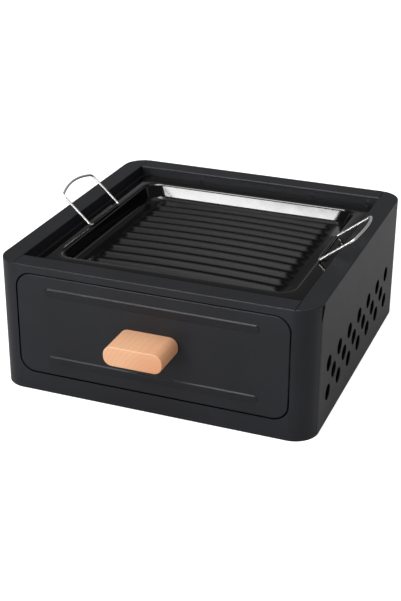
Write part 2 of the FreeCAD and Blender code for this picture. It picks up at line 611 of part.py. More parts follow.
def runner(name, side):
    body = new_body(name)
    run = (RUNNER_FRONT, RUNNER_BACK)
    web = between(side, WEB_X, "%s + runner_gauge" % WEB_X)
    lip = between(side, "%s - runner_lip" % WEB_X, "%s + runner_gauge" % WEB_X)
    foot = between(side, WEB_X, "%s + runner_gauge + runner_foot" % WEB_X)
    under = "%s - runner_gauge" % LOWER_LIP
    over = "%s + runner_gauge" % UPPER_LIP
    block(body, name + "_web", web, run, ("gauge", over))
    block(body, name + "_lower_lip", lip, run, (under, LOWER_LIP))
    block(body, name + "_upper_lip", lip, run, (UPPER_LIP, over))
    block(body, name + "_foot", foot, run, ("gauge", "gauge + runner_gauge"))
    block(body, name + "_stop", lip, (RUNNER_FRONT, STOP_BACK), (UPPER_LIP, "%s + stop_tab" % UPPER_LIP))
    block(body, name + "_end", lip, ("%s - runner_gauge" % RUNNER_BACK, RUNNER_BACK), (under, over))
    hole = rod(body, name + "_hole", "rivet / 2", "4 * runner_gauge",
               (times(side, RIVET_X), "%s + %s / 2" % (RUNNER_FRONT, RIVET_STEP), "0"), cut=True)
    repeat(body, hole, name + "_holes", "%s * ( runner_rivets - 1 )" % RIVET_STEP, "runner_rivets")


for hand_name, hand in HANDS:
    runner(hand_name + "_runner", hand)

runner_rivet_group = new_body("runner_rivets")
for hand_name, hand in HANDS:
    for k in range(int(size("runner_rivets"))):
        rivet(runner_rivet_group, "%s_rivet_%d" % (hand_name, k),
              (times(hand, RIVET_X), "%s + %s * %.1f" % (RUNNER_FRONT, RIVET_STEP, k + 0.5),
               "gauge + runner_gauge"), "up", "gauge + runner_gauge", tail=False)


# Drawer front: a shallow pressed pan with its edge turned back and two raised beads.

FACE = (FACE_WIDTH, FACE_HEIGHT, "face_corner")
FACE_IN = ("%s - 2 * gauge" % FACE_WIDTH, "%s - 2 * gauge" % FACE_HEIGHT, "face_corner - gauge")
BEAD = (BEAD_LENGTH, "bead_height", "bead_corner")
BEAD_IN = ("%s - 2 * gauge" % BEAD_LENGTH, "bead_height - 2 * gauge", "bead_corner - gauge")
UPPER_BEAD_Z = "height - face_head - bead_head - bead_height / 2"
LOWER_BEAD_Z = "face_low + bead_sill + bead_height / 2"
drawer_front = new_body("drawer_front")
rounded_pad(drawer_front, "face_plate", [FACE], "gauge", "depth / 2", "XZ_Plane", ("0", FACE_Z), reverse=True)
rounded_pad(drawer_front, "face_rim", [FACE, FACE_IN], "face_lip", "depth / 2", "XZ_Plane", ("0", FACE_Z),
            reverse=True)
round_edges(drawer_front, "face_edge", "edge_round", lambda e, m: close(m.y, -size("depth") / 2))
for bead_name, level in (("upper", UPPER_BEAD_Z), ("lower", LOWER_BEAD_Z)):
    middle = ("0", level)
    rounded_pad(drawer_front, bead_name + "_bead", [BEAD], "bead_rise", "depth / 2", "XZ_Plane", middle)
    rounded_pad(drawer_front, bead_name + "_bead_back", [BEAD_IN], "bead_rise", "depth / 2 - gauge",
                "XZ_Plane", middle, cut=True, reverse=True)
round_edges(drawer_front, "bead_edges", "bead_round",
            lambda e, m: close(m.y, -size("depth") / 2 - size("bead_rise")))
for hand_name, hand in HANDS:
    rod(drawer_front, "face_hole_%s" % hand_name, "screw_shank / 2 + screw_play", PUNCH,
        (times(hand, "knob_screws / 2"), "%s + %s / 2" % (FRONT, PUNCH), KNOB_Z), "front", cut=True)


# Drawer tray: an open box behind the drawer front, with a sliding flange along each side.

drawer_tray = new_body("drawer_tray")
block(drawer_tray, "tray_block", (minus(TRAY_X), TRAY_X), (TRAY_FRONT, TRAY_BACK), ("tray_low", TRAY_HIGH))
block(drawer_tray, "tray_hollow", ("gauge - %s" % TRAY_X, "%s - gauge" % TRAY_X),
      ("%s + gauge" % TRAY_FRONT, "%s - gauge" % TRAY_BACK), ("tray_low + gauge", FAR), cut=True)
for hand_name, hand in HANDS:
    block(drawer_tray, "tray_flange_%s" % hand_name,
          between(hand, "%s - gauge / 2" % TRAY_X, "%s + tray_flange" % TRAY_X),
          ("%s + face_lip + gauge" % TRAY_FRONT, TRAY_BACK), ("tray_low", "tray_low + gauge"))
    block(drawer_tray, "tray_stop_%s" % hand_name,
          between(hand, "%s - gauge / 2" % TRAY_X, "%s + tray_flange - runner_play" % TRAY_X),
          ("%s + travel" % STOP_BACK, "%s + travel + gauge" % STOP_BACK),
          ("%s + runner_gauge + slide_play" % UPPER_LIP, "%s + stop_tab" % UPPER_LIP))
    rod(drawer_tray, "tray_hole_%s" % hand_name, "screw_shank / 2 + screw_play", PUNCH,
        (times(hand, "knob_screws / 2"), "%s + %s / 2" % (TRAY_FRONT, PUNCH), KNOB_Z), "front", cut=True)


# Knob: a rounded wooden block, held by two screws from inside the drawer.

knob = new_body("knob")
rounded_pad(knob, "knob_block", [("knob_width", "knob_height", "knob_corner")], "knob_reach", "depth / 2",
            "XZ_Plane", ("0", KNOB_Z))
round_edges(knob, "knob_front_edge", "knob_round",
            lambda e, m: close(m.y, -size("depth") / 2 - size("knob_reach")))
knob_screws = new_body("knob_screws")
knob_washers = new_body("knob_washers")
for hand_name, hand in HANDS:
    seat = (times(hand, "knob_screws / 2"), "%s + gauge" % TRAY_FRONT, KNOB_Z)
    head = shifted(seat, "back", "washer_gauge")
    rod(knob, "knob_pilot_%s" % hand_name, "screw_shank / 2 + pilot_play", "pilot_depth", seat,
        "front", cut=True)
    rod(knob_screws, "screw_shank_%s" % hand_name, "screw_shank / 2", "screw_length", head, "front")
    cap(knob_screws, "screw_head_%s" % hand_name, "screw_head", "screw_dome", head, "back")
    block(knob_screws, "screw_slot_%s" % hand_name,
          ("%s - screw_head" % head[0], "%s + screw_head" % head[0]),
          ("%s + screw_dome / 2" % head[1], "%s + 2 * screw_dome" % head[1]),
          ("%s - screw_slot / 2" % KNOB_Z, "%s + screw_slot / 2" % KNOB_Z), cut=True)
    rod(knob_washers, "washer_disc_%s" % hand_name, "washer / 2", "washer_gauge", seat, "back")
    rod(knob_washers, "washer_hole_%s" % hand_name, "screw_shank / 2 + screw_play", "washer_gauge", seat,
        "back", cut=True)


# Fire tray: a loose pressed tray that stands in the drawer on four feet and holds the ash.

fire_tray = new_body("fire_tray")
FIRE = (FIRE_WIDTH, FIRE_LENGTH, "fire_corner")
FIRE_IN = ("%s - 2 * gauge" % FIRE_WIDTH, "%s - 2 * gauge" % FIRE_LENGTH, "fire_corner - gauge")
FIRE_RIM = ("%s + 2 * fire_rim" % FIRE_WIDTH, "%s + 2 * fire_rim" % FIRE_LENGTH, "fire_corner + fire_rim")
FIRE_MIDDLE = ("0", FIRE_Y)
rounded_pad(fire_tray, "fire_floor", [FIRE], "gauge", FIRE_Z, middle=FIRE_MIDDLE)
rounded_pad(fire_tray, "fire_wall", [FIRE, FIRE_IN], FIRE_HEIGHT, FIRE_Z, middle=FIRE_MIDDLE)
rounded_pad(fire_tray, "fire_rim_ring", [FIRE_RIM, FIRE_IN], "gauge",
            "%s + %s - gauge" % (FIRE_Z, FIRE_HEIGHT), middle=FIRE_MIDDLE)
for end_name, end in ENDS:
    for hand_name, hand in HANDS:
        rod(fire_tray, "fire_foot_%s_%s" % (end_name, hand_name), "fire_foot_bore / 2", "fire_foot",
            (times(hand, "%s / 2 - fire_foot_bore" % FIRE_WIDTH),
             "%s + %s" % (FIRE_Y, times(end, "%s / 2 - fire_foot_bore" % FIRE_LENGTH)), "tray_low + gauge"))


# Charcoal grate: a welded wire grid on four short legs, which carries the charcoal over the ash.

charcoal_grate = new_body("charcoal_grate")
grate_legs = new_body("grate_legs")
for hand_name, hand in HANDS:
    rod(charcoal_grate, "grate_side_%s" % hand_name, "grate_rod / 2", "2 * %s" % GRATE_Y,
        (times(hand, GRATE_X), "%s - %s" % (FIRE_Y, GRATE_Y), GRATE_Z), "back")
for end_name, end in ENDS:
    for hand_name, hand in HANDS:
        rod(grate_legs, "grate_leg_%s_%s" % (end_name, hand_name), "grate_leg / 2",
            "grate_level - grate_rod / 2",
            (times(hand, GRATE_X), "%s + %s" % (FIRE_Y, times(end, "%s - grate_leg" % GRATE_Y)),
             "%s + gauge" % FIRE_Z))
cross_wire = rod(charcoal_grate, "grate_cross", "grate_wire / 2", "2 * %s" % GRATE_X,
                 (minus(GRATE_X), "%s - %s / 2" % (FIRE_Y, GRATE_RUN), GRATE_Z), "right")
repeat(charcoal_grate, cross_wire, "grate_crosses", GRATE_RUN, "grate_wires")
rod(charcoal_grate, "grate_spine", "grate_rod / 2", "2 * %s" % GRATE_Y,
    ("0", "%s - %s" % (FIRE_Y, GRATE_Y), "%s - grate_wire / 2" % GRATE_Z), "back")


# Grill pan: a flat rim on the ledge, leaning walls, a channel, and a crowned floor with ribs.

grill_pan = new_body("grill_pan")
PAN_MIDDLE = ("0", PAN_Y)
FOOT_WIDTH = "%s - 2 * bowl_draft" % BOWL_WIDTH
FOOT_LENGTH = "%s - 2 * bowl_draft" % BOWL_LENGTH
rounded_pad(grill_pan, "pan_rim", [(PAN_WIDTH, PAN_LENGTH, "pan_corner")], "pan_gauge", LEDGE_TOP,
            middle=PAN_MIDDLE)
rounded_loft(grill_pan, "bowl_outside",
             (("%s + 2 * pan_gauge" % BOWL_WIDTH, "%s + 2 * pan_gauge" % BOWL_LENGTH,
               "bowl_corner + pan_gauge"), PAN_TOP, PAN_MIDDLE),
             (("%s + 2 * pan_gauge" % FOOT_WIDTH, "%s + 2 * pan_gauge" % FOOT_LENGTH,
               "bowl_foot_corner + pan_gauge"), "%s - pan_gauge" % BOWL_FLOOR, PAN_MIDDLE))
rounded_loft(grill_pan, "bowl_inside",
             ((BOWL_WIDTH, BOWL_LENGTH, "bowl_corner"), PAN_TOP, PAN_MIDDLE),
             ((FOOT_WIDTH, FOOT_LENGTH, "bowl_foot_corner"), BOWL_FLOOR, PAN_MIDDLE), cut=True)
pan_top = size("height") - size("well_drop")
bowl_x = size("width") / 2 - size("side_rail") - size("pan_side_gap") - size("rim_side")
bowl_back = size("depth") / 2 - size("end_rail") - size("pan_back_gap") - size("rim_end")
bowl_front = size("end_rail") + size("pan_front_gap") + size("rim_end") - size("depth") / 2


def within_bowl(point):
    """True for a point of the pan's opening, but not of its outer edge."""
    margin = size("pan_gauge")
    return abs(point.x) < bowl_x + margin and bowl_front - margin < point.y < bowl_back + margin


round_edges(grill_pan, "bowl_bend", "bowl_bend", lambda e, m: close(m.z, pan_top) and within_bowl(m))
round_edges(grill_pan, "bowl_foot_bend", "bowl_foot_bend",
            lambda e, m: close(m.z, pan_top - size("bowl_drop")))


def about_crown(feature, body, toward_back):
    """Put a turned piece of the ribbed floor on the far axis that gives the floor its crown."""
    attach(feature, body, "XZ_Plane", ("0", CROWN_AXIS_Z, minus(toward_back)))
    bind(feature, "AttachmentOffset.Rotation.Angle", "90 deg - %s" % CROWN_SWING)


floor_slab = primitive(grill_pan, "Cylinder", "ribbed_floor", False)
bind(floor_slab, "Radius", CROWN_RADIUS)
bind(floor_slab, "Height", CROWN_LENGTH)
bind(floor_slab, "Angle", "2 * %s" % CROWN_SWING)
about_crown(floor_slab, grill_pan, "%s + %s / 2" % (PAN_Y, CROWN_LENGTH))
rib = primitive(grill_pan, "Torus", "rib", False)
bind(rib, "Radius1", "%s + rib_height - %s" % (CROWN_RADIUS, RIB_ROUND))
bind(rib, "Radius2", RIB_ROUND)
bind(rib, "Angle3", "2 * %s" % CROWN_SWING)
about_crown(rib, grill_pan, "%s - %s / 2" % (PAN_Y, RIBS_RUN))
repeat(grill_pan, rib, "ribs", RIBS_RUN, "rib_count")
block(grill_pan, "pan_underside", (minus(FAR), FAR), (minus(FAR), FAR),
      ("%s - %s" % (CROWN_AXIS_Z, CROWN_RADIUS), "%s - pan_gauge" % BOWL_FLOOR), cut=True)


# Bails: a wire loop on each side. Its straight rod turns in a clip on the pan's rim.

def bail_sketch(body, name):
    """The wire's centre line in the plane of the loop: rod, leg, arched grip, leg and rod."""
    half, leg, bow = size("bail_half"), size("bail_leg"), size("bail_bow")
    bend, foot, split = size("bail_bend"), size("bail_foot_bend"), size("bail_split") / 2
    grip = (half ** 2 + bow ** 2) / (2 * bow)
    centre = leg + bow - grip
    rise = math.sqrt((grip - bend) ** 2 - (half - bend) ** 2)
    turn = math.atan2(rise, half - bend)
    shoulder = centre + rise
    quarter = math.pi / 2

    def line(x0, y0, x1, y1):
        return Part.LineSegment(Vector(x0, y0, 0), Vector(x1, y1, 0))

    def arc(x, y, radius, start, end):
        return Part.ArcOfCircle(Part.Circle(Vector(x, y, 0), Vector(0, 0, 1), radius), start, end)

    sketch = body.newObject("Sketcher::SketchObject", name)
    attach(sketch, body, "YZ_Plane", ("0", "0", "0"))
    sketch.addGeometry([line(split, 0, half - foot, 0),
                        arc(half - foot, foot, foot, -quarter, 0),
                        line(half, foot, half, shoulder),
                        arc(half - bend, shoulder, bend, 0, turn),
                        arc(0, centre, grip, turn, math.pi - turn),
                        arc(bend - half, shoulder, bend, math.pi - turn, math.pi),
                        line(-half, shoulder, -half, foot),
                        arc(foot - half, foot, foot, math.pi, 3 * quarter),
                        line(foot - half, 0, -split, 0)], False)
    for k in range(8):
        sketch.addConstraint(Sketcher.Constraint("Tangent", k, 2, k + 1, 1))
    for k in (0, 8):
        sketch.addConstraint(Sketcher.Constraint("Horizontal", k))
    for k in (2, 6):
        sketch.addConstraint(Sketcher.Constraint("Vertical", k))
    sketch.addConstraint(Sketcher.Constraint("Equal", 1, 7))
    sketch.addConstraint(Sketcher.Constraint("Equal", 3, 5))
    sketch.addConstraint(Sketcher.Constraint("PointOnObject", 0, 1, -1))
    sketch.addConstraint(Sketcher.Constraint("PointOnObject", 4, 3, -2))
    sketch.addConstraint(Sketcher.Constraint("Symmetric", 0, 1, 8, 2, -1, 1))
    size_by(sketch, "Radius", (1,), foot, "bail_foot_bend")
    size_by(sketch, "Radius", (3,), bend, "bail_bend")
    size_by(sketch, "Radius", (4,), grip, GRIP_RADIUS)
    size_by(sketch, "DistanceX", (-1, 1, 2, 1), half, "bail_half")
    size_by(sketch, "DistanceX", (6, 1, -1, 1), half, "bail_half")
    size_by(sketch, "DistanceX", (8, 2, 0, 1), 2 * split, "bail_split")
    size_by(sketch, "DistanceY", (-1, 1, 4, 3), centre, "bail_leg + bail_bow - %s" % GRIP_RADIUS)
    return sketch


def bail(name, side, lean):
    body = new_body(name)
    path = bail_sketch(body, name + "_path")
    section = body.newObject("Sketcher::SketchObject", name + "_section")
    attach(section, body, "XZ_Plane", ("0", "0", "-1 * bail_split / 2"))
    section.addGeometry(Part.Circle(Vector(), Vector(0, 0, 1), size("wire") / 2), False)
    section.addConstraint(Sketcher.Constraint("Coincident", 0, 3, -1, 1))
    size_by(section, "Radius", (0,), size("wire") / 2, "wire / 2")
    pipe = body.newObject("PartDesign::AdditivePipe", name + "_wire")
    pipe.Profile = section
    pipe.Spine = (path, ["Edge%d" % k for k in range(1, 10)])
    body.Placement = FreeCAD.Placement(Vector(), Rotation(Vector(0, side, 0), 90))
    bind(body, "Placement.Rotation.Angle", "90 - %s" % lean)
    place(body, (times(side, ROD_X), PAN_Y, ROD_Z))


# Bail clips: a half round sleeve over the rod, its outer side turned out flat on the pan's rim.

def bail_clip(name, side):
    body = new_body(name)
    sleeve = "( wire / 2 + bail_play + clip_gauge )"
    bore = "( wire / 2 + bail_play )"
    half = "( bail_half - clip_end_gap )"
    run = ("%s - %s" % (PAN_Y, half), "%s + %s" % (PAN_Y, half))
    start = (times(side, ROD_X), run[0], ROD_Z)
    rod(body, name + "_sleeve", sleeve, "2 * %s" % half, start, "back")
    block(body, name + "_walls", ("%s - %s" % (start[0], sleeve), "%s + %s" % (start[0], sleeve)), run,
          (PAN_TOP, ROD_Z))
    block(body, name + "_foot", between(side, ROD_X, "%s + %s + clip_foot" % (ROD_X, sleeve)), run,
          (PAN_TOP, "%s + clip_gauge" % PAN_TOP))
    rod(body, name + "_bore", bore, "2 * %s" % half, start, "back", cut=True)
    block(body, name + "_slot", ("%s - %s" % (start[0], bore), "%s + %s" % (start[0], bore)), run,
          ("%s - clip_gauge" % PAN_TOP, ROD_Z), cut=True)
    block(body, name + "_seat", between(side, "0", FAR), run, ("0", PAN_TOP), cut=True)


for hand_name, hand in HANDS:
    bail(hand_name + "_bail", hand, hand_name + "_lean")
    bail_clip(hand_name + "_bail_clip", hand)


# Every object is checked before anything is written.

doc.recompute()
for obj in doc.Objects:
    if "Invalid" in obj.State or "Error" in obj.State:
        raise RuntimeError("%s failed: %s" % (obj.Label, obj.State))
for node in nodes:
    shape = node.Shape
    if shape.isNull() or not shape.isValid() or not shape.Solids:
        raise RuntimeError("%s has no valid solid" % node.Label)
os.makedirs("parts", exist_ok=True)
for node in nodes:
    node.Shape.exportStep("parts/%s.step" % node.Label)
    print("%-24s %2d solids %10.1f mm3" % (node.Label, len(node.Shape.Solids), node.Shape.Volume))
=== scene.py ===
import math
import bmesh
import bpy
import numpy as np
from mathutils import Matrix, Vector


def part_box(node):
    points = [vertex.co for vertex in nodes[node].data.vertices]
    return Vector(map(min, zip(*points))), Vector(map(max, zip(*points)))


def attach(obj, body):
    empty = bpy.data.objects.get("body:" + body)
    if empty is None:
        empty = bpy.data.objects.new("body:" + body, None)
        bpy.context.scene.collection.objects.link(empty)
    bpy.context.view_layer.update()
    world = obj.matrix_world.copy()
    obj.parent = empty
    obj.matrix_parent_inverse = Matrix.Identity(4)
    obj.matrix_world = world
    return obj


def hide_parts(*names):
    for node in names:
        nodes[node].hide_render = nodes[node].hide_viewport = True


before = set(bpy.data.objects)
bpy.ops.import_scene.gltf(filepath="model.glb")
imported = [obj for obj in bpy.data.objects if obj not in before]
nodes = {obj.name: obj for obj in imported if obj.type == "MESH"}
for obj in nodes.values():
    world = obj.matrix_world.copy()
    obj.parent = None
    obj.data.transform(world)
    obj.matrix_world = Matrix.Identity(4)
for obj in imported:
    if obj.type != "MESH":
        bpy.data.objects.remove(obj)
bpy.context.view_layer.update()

# A tabletop charcoal grill: housing and drawer of powder coated sheet steel, an enamelled grill pan,
# bright wire bails and a beech knob. x runs to the right, y to the back and z up. Lengths in the shape
# functions are millimetres, and become metres when a mesh is made.

MM = 0.001


def box_mm(node):
    """The lowest and highest corner of a node, in millimetres."""
    low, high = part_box(node)
    return np.array(low) / MM, np.array(high) / MM


# Sizes that the frame gives.

pan_low, pan_high = box_mm("grill_pan")
PAN_TOP = pan_high[2]
PAN_HALF = (pan_high[0] - pan_low[0]) / 2
PAN_Y = (pan_high[1] + pan_low[1]) / 2
knob_low, knob_high = box_mm("knob")
face_low, face_high = box_mm("drawer_front")

# Sizes of the forms that are modelled here, as in the construction.
# Grill pan: its sheet, its opening, the leaning wall and the two bends of that wall.

PAN_GAUGE = 1.5
PAN_CORNER = 8.0
BOWL_X = 120.0
BOWL_Y = 112.5
BOWL_CORNER = 15.0
BOWL_FOOT_CORNER = 18.0
BOWL_DRAFT = 5.0
BOWL_DROP = 17.0
BEND = 3.0
FOOT_BEND = 6.5

# The pan's floor: its crown, where that fades out at the sides and ends, and the ribs.

CROWN_BASE = 1.0
CROWN_X = 2.6
CROWN_Y = 2.3
CROWN_SIDE = 109.5
CROWN_SIDE_FADE = 9.0
FLOOR_END = 103.0
CROWN_END_FADE = 5.0
RIBS = 12
RIB_PITCH = 17.4
RIB_HEIGHT = 4.0
RIB_REACH = 7.2
RIB_HALF = 99.7
RIB_POWER = 1.15

# Bails and their clips. The points of a straight run of wire stop RUN_GAP short of its bends, and the
# rod's two ends meet with BAIL_SPLIT between them. BAILS gives each bail's side and angle at rest.

WIRE = 2.5
WIRE_CLEAR = 0.06
WIRE_SIDES = 20
BAIL_HALF = 33.75
BAIL_LEG = 42.0
BAIL_BOW = 6.5
BAIL_BEND = 4.0
BAIL_FOOT_BEND = 3.0
BAIL_SPLIT = 1.0
RUN_GAP = 1.0
BAILS = (("left", -1, 43.0), ("right", 1, 38.0))
ROD_X = PAN_HALF - 13.0
ROD_Z = PAN_TOP + WIRE / 2 + WIRE_CLEAR
CLIP_GAUGE = 0.9
CLIP_HALF = 29.0
CLIP_FOOT = 5.0
CLIP_ROUND = 0.3

# Knob.

KNOB_CORNER = 8.7
KNOB_ROUND = 0.9

# Drawer front: the pressed plate, its lip and the two beads.

FACE_CORNER = 15.0
FACE_GAUGE = 1.0
FACE_LIP = 9.0
FACE_ROUND = 0.8
LIP_ROUND = 0.2
LIP_FOLD = 0.4
BEAD_HALF = 108.0
BEAD_STEP = 1.4
BEAD_HEIGHT = 9.5
BEAD_CORNER = 4.5
BEAD_RISE = 1.2
BEAD_FLAT = 1.0
BEAD_FADE = 0.8
BEAD_TOPS = (112.5, 41.0)

# Points to a bend of up to a quarter turn, to a corner of the knob and along its side, and to half a
# bail's rod, its leg and half its grip.

ARC_STEPS = 9
KNOB_STEPS = 12
KNOB_ROWS = 8
ROD_POINTS = 5
LEG_POINTS = 6
GRIP_POINTS = 24

# Clearing up a mesh: weld distances in metres and angles in degrees. SKIN is for copies of nodes.

WELD = 1e-6
SHARP = 40.0
SKIN_WELD = 2e-6
SKIN_FLAT = 0.3
SKIN_SHARP = 35.0
GRATE_SHARP = 50.0
EDGE_SHARP = 60.0


# Mesh making.

def mesh_object(name, points, faces):
    """A smooth mesh from an array of points in millimetres, and its faces as an array or a list."""
    mesh = bpy.data.meshes.new(name)
    faces = faces.tolist() if isinstance(faces, np.ndarray) else faces
    mesh.from_pydata((np.asarray(points) * MM).tolist(), [], faces)
    mesh.polygons.foreach_set("use_smooth", [True] * len(mesh.polygons))
    mesh.update()
    piece = bpy.data.objects.new(name, mesh)
    bpy.context.scene.collection.objects.link(piece)
    return piece


def points_of(mesh):
    """The points of a mesh as an array, in millimetres."""
    points = np.empty(len(mesh.vertices) * 3)
    mesh.vertices.foreach_get("co", points)
    return points.reshape(-1, 3) / MM


def quads(rows, columns, wrap=False):
    """The quads of a grid of rows by columns of points. With wrap, each row is a closed ring."""
    i = np.arange(rows - 1)
    j = np.arange(columns if wrap else columns - 1)
    i, j = np.meshgrid(i, j, indexing="ij")
    i2, j2 = i + 1, (j + 1) % columns
    corners = [i * columns + j, i * columns + j2, i2 * columns + j2, i2 * columns + j]
    return np.stack(corners, -1).reshape(-1, 4)


def end_caps(count, last):
    """The two end faces of rings of count points: the first ring, and the one that starts at last."""
    return [list(range(count)), list(range(last + count - 1, last - 1, -1))]


def rounded_ring(half_x, half_y, radius):
    """A rounded rectangle about the origin: four arcs, joined by straight runs, as an array of x, y."""
    angle = np.linspace(0, math.pi / 2, KNOB_STEPS)
    arc = np.stack([np.cos(angle), np.sin(angle)], -1) * radius
    quarters = []
    for k, (sx, sy) in enumerate(((1, 1), (-1, 1), (-1, -1), (1, -1))):
        turn = k * math.pi / 2
        c, s = math.cos(turn), math.sin(turn)
        turned = arc @ np.array([[c, s], [-s, c]])
        quarters.append(turned + [sx * (half_x - radius), sy * (half_y - radius)])
    return np.concatenate(quarters)


def rounded_grid(half_x, half_y, corner, inner_x, v):
    """A grid that fills a rounded rectangle. Its columns stand at inner_x and, past it, at equal steps
    round the corners. Each column is as long as the rectangle is there, and v runs along it."""
    round_off = half_x - corner + corner * np.sin(np.linspace(0, math.pi / 2, ARC_STEPS))[1:]
    x = np.concatenate([-round_off[::-1], inner_x, round_off])
    over = np.maximum(np.abs(x) - (half_x - corner), 0)
    reach = half_y - corner + np.sqrt(np.maximum(corner ** 2 - over ** 2, 0))
    return np.repeat(x[:, None], len(v), axis=1), reach[:, None] * v[None, :]


def outline_of(grid, half_x, half_y, corner):
    """The border of a rounded grid, as indices in order, and for each border point the nearest point
    of the rectangle of corner centres, as a share of its halves, and the direction outwards from it."""
    rows, columns = grid[0].shape
    index = np.arange(rows * columns).reshape(rows, columns)
    border = np.concatenate([index[:-1, 0], index[-1, :-1], index[:0:-1, -1], index[0, :0:-1]])
    points = np.stack([grid[0].ravel()[border], grid[1].ravel()[border]], -1)
    core = np.array([half_x - corner, half_y - corner])
    nearest = np.clip(points, -core, core)
    out = points - nearest
    return border, nearest / core, out / np.linalg.norm(out, axis=1)[:, None]


def ring_on(outline, half_x, half_y, corner):
    """The border of another rounded rectangle, point for point: its rectangle of corner centres
    scaled, plus its corner radius outwards."""
    share, out = outline[1:]
    return share * [half_x - corner, half_y - corner] + out * corner


def shell(top, rings, low, border):
    """One closed skin: a top grid, rings that go down from its border, and a low grid with the same
    border, turned to face down."""
    rows, columns = top.shape[:2]
    count = len(border)
    points = np.concatenate([top.reshape(-1, 3), np.concatenate(rings), low.reshape(-1, 3)])
    first = rows * columns
    bands = [border] + [first + k * count + np.arange(count) for k in range(len(rings))]
    bands += [border + first + len(rings) * count]
    faces = [quads(rows, columns), quads(rows, columns)[:, ::-1] + first + len(rings) * count]
    for upper, lower in zip(bands[:-1], bands[1:]):
        faces.append(np.stack([upper, np.roll(upper, -1), np.roll(lower, -1), lower], -1))
    return points, np.concatenate(faces)


def skin(node, edge, sharp):
    """A copy of a node's mesh with its doubles merged and its flats in one. Its sharp edges are rounded
    by edge, in millimetres, and its normals follow the large faces, so that flat sheet looks flat."""
    mesh = nodes[node].data.copy()
    mesh.name = node + "_skin"
    piece = bpy.data.objects.new(node + "_skin", mesh)
    bpy.context.scene.collection.objects.link(piece)
    work = bmesh.new()
    work.from_mesh(mesh)
    bmesh.ops.remove_doubles(work, verts=work.verts, dist=SKIN_WELD)
    bmesh.ops.dissolve_limit(work, angle_limit=math.radians(SKIN_FLAT), verts=work.verts,
                             edges=work.edges)
    work.to_mesh(mesh)
    work.free()
    mesh.polygons.foreach_set("use_smooth", [True] * len(mesh.polygons))
    mesh.set_sharp_from_angle(angle=math.radians(sharp))
    if edge:
        bevel = piece.modifiers.new("edge", "BEVEL")
        bevel.width = edge * MM
        bevel.segments = 2
        bevel.limit_method = "ANGLE"
        bevel.angle_limit = math.radians(EDGE_SHARP)
        bevel.harden_normals = True
        bevel.use_clamp_overlap = True
    weighted = piece.modifiers.new("weighted", "WEIGHTED_NORMAL")
    weighted.keep_sharp = True
    return piece


def tube(path, radius):
    """A round tube along an open path: at each point a circle square to the path, and two end caps."""
    tangent = np.gradient(path, axis=0)
    tangent /= np.linalg.norm(tangent, axis=1)[:, None]
    flat = path - path.mean(axis=0)
    normal = np.linalg.svd(flat, full_matrices=True)[2][2]
    side = np.cross(tangent, normal)
    side /= np.linalg.norm(side, axis=1)[:, None]
    angle = np.linspace(0, 2 * math.pi, WIRE_SIDES, endpoint=False)
    ring = np.cos(angle)[None, :, None] * side[:, None, :] + np.sin(angle)[None, :, None] * normal
    points = (path[:, None, :] + radius * ring).reshape(-1, 3)
    faces = quads(len(path), WIRE_SIDES, wrap=True)
    count = len(points)
    points = np.concatenate([points, path[:1], path[-1:]])
    k = np.arange(WIRE_SIDES)
    k2 = (k + 1) % WIRE_SIDES
    middle = np.full(WIRE_SIDES, count)
    first = np.stack([k2, k, middle, middle], -1)
    last = np.stack([k, k2, middle + 1, middle + 1], -1)
    last[:, :2] += (len(path) - 1) * WIRE_SIDES
    return points, np.concatenate([faces, first, last])


def clean(piece):
    """Merges doubles, turns the faces outwards and keeps edges sharp where they turn by SHARP."""
    work = bmesh.new()
    work.from_mesh(piece.data)
    bmesh.ops.remove_doubles(work, verts=work.verts, dist=WELD)
    bmesh.ops.dissolve_degenerate(work, edges=work.edges, dist=WELD)
    bmesh.ops.recalc_face_normals(work, faces=work.faces)
    work.to_mesh(piece.data)
    work.free()
    piece.data.polygons.foreach_set("use_smooth", [True] * len(piece.data.polygons))
    piece.data.set_sharp_from_angle(angle=math.radians(SHARP))
    return piece


# Materials.

# Sizes of the patterns, in millimetres: the coat's cloudy tone, the enamel's haze and waviness, the
# drawn lines of the wire, and the growth rings and pores of the beech. Drawn lines and pores are far
# finer on the real ones, and are drawn as coarse as they need to be to show.

CLOUD = 55.556
HAZE = 28.571
WAVINESS = 16.667
DRAWN_LINE = 0.4
GROWTH_RING = 3.927
PORE = 0.7143

# Heights of the bumps, in millimetres.

WAVE_HEIGHT = 0.05
LINE_HEIGHT = 0.01
PORE_HEIGHT = 0.03

# Scales below 1 along the wire and along the grain, which draw a pattern out.

DRAWN_OUT = 0.15
PORES_OUT = 0.06

# The wave texture's rings are this far apart at a scale of 1, in metres.

WAVE_TURN = math.pi / 10

# Roughness: how far the coat's and the wire's change to either side, the glossy enamel's range, and
# what satin adds to it. Then the enamel's specular level, glossy and satin.

COAT_CHANGE = 0.04
LINE_CHANGE = (-0.06, 0.08)
ENAMEL_ROUGH = (0.07, 0.12)
SATIN_ROUGH = 0.3
ENAMEL_GLOSS = (0.5, 0.08)

# The pith's place in metres and its turns, how far the redder wood reaches from it in millimetres, and
# how much of its colour shows there.

PITH_PLACE = (-0.040, 0.0, -0.043)
PITH_TURN = (0.02, 0.0, 0.03)
HEART_REACH = (24.0, 50.0)
HEART_SHARE = 0.75


def linear(hex_colour):
    """An sRGB hex colour as linear RGBA."""
    values = [int(hex_colour[k:k + 2], 16) / 255 for k in (1, 3, 5)]
    return [v / 12.92 if v <= 0.04045 else ((v + 0.055) / 1.055) ** 2.4 for v in values] + [1.0]


def material(name):
    """A new material, its tree of nodes and its principled shader."""
    made = bpy.data.materials.new(name)
    made.use_nodes = True
    tree = made.node_tree
    return made, tree, tree.nodes["Principled BSDF"]


def plug(tree, node, inputs):
    """Gives each named input of a node its value, or a link from its socket."""
    for key, value in inputs.items():
        if isinstance(value, bpy.types.NodeSocket):
            tree.links.new(value, node.inputs[key])
        else:
            node.inputs[key].default_value = value


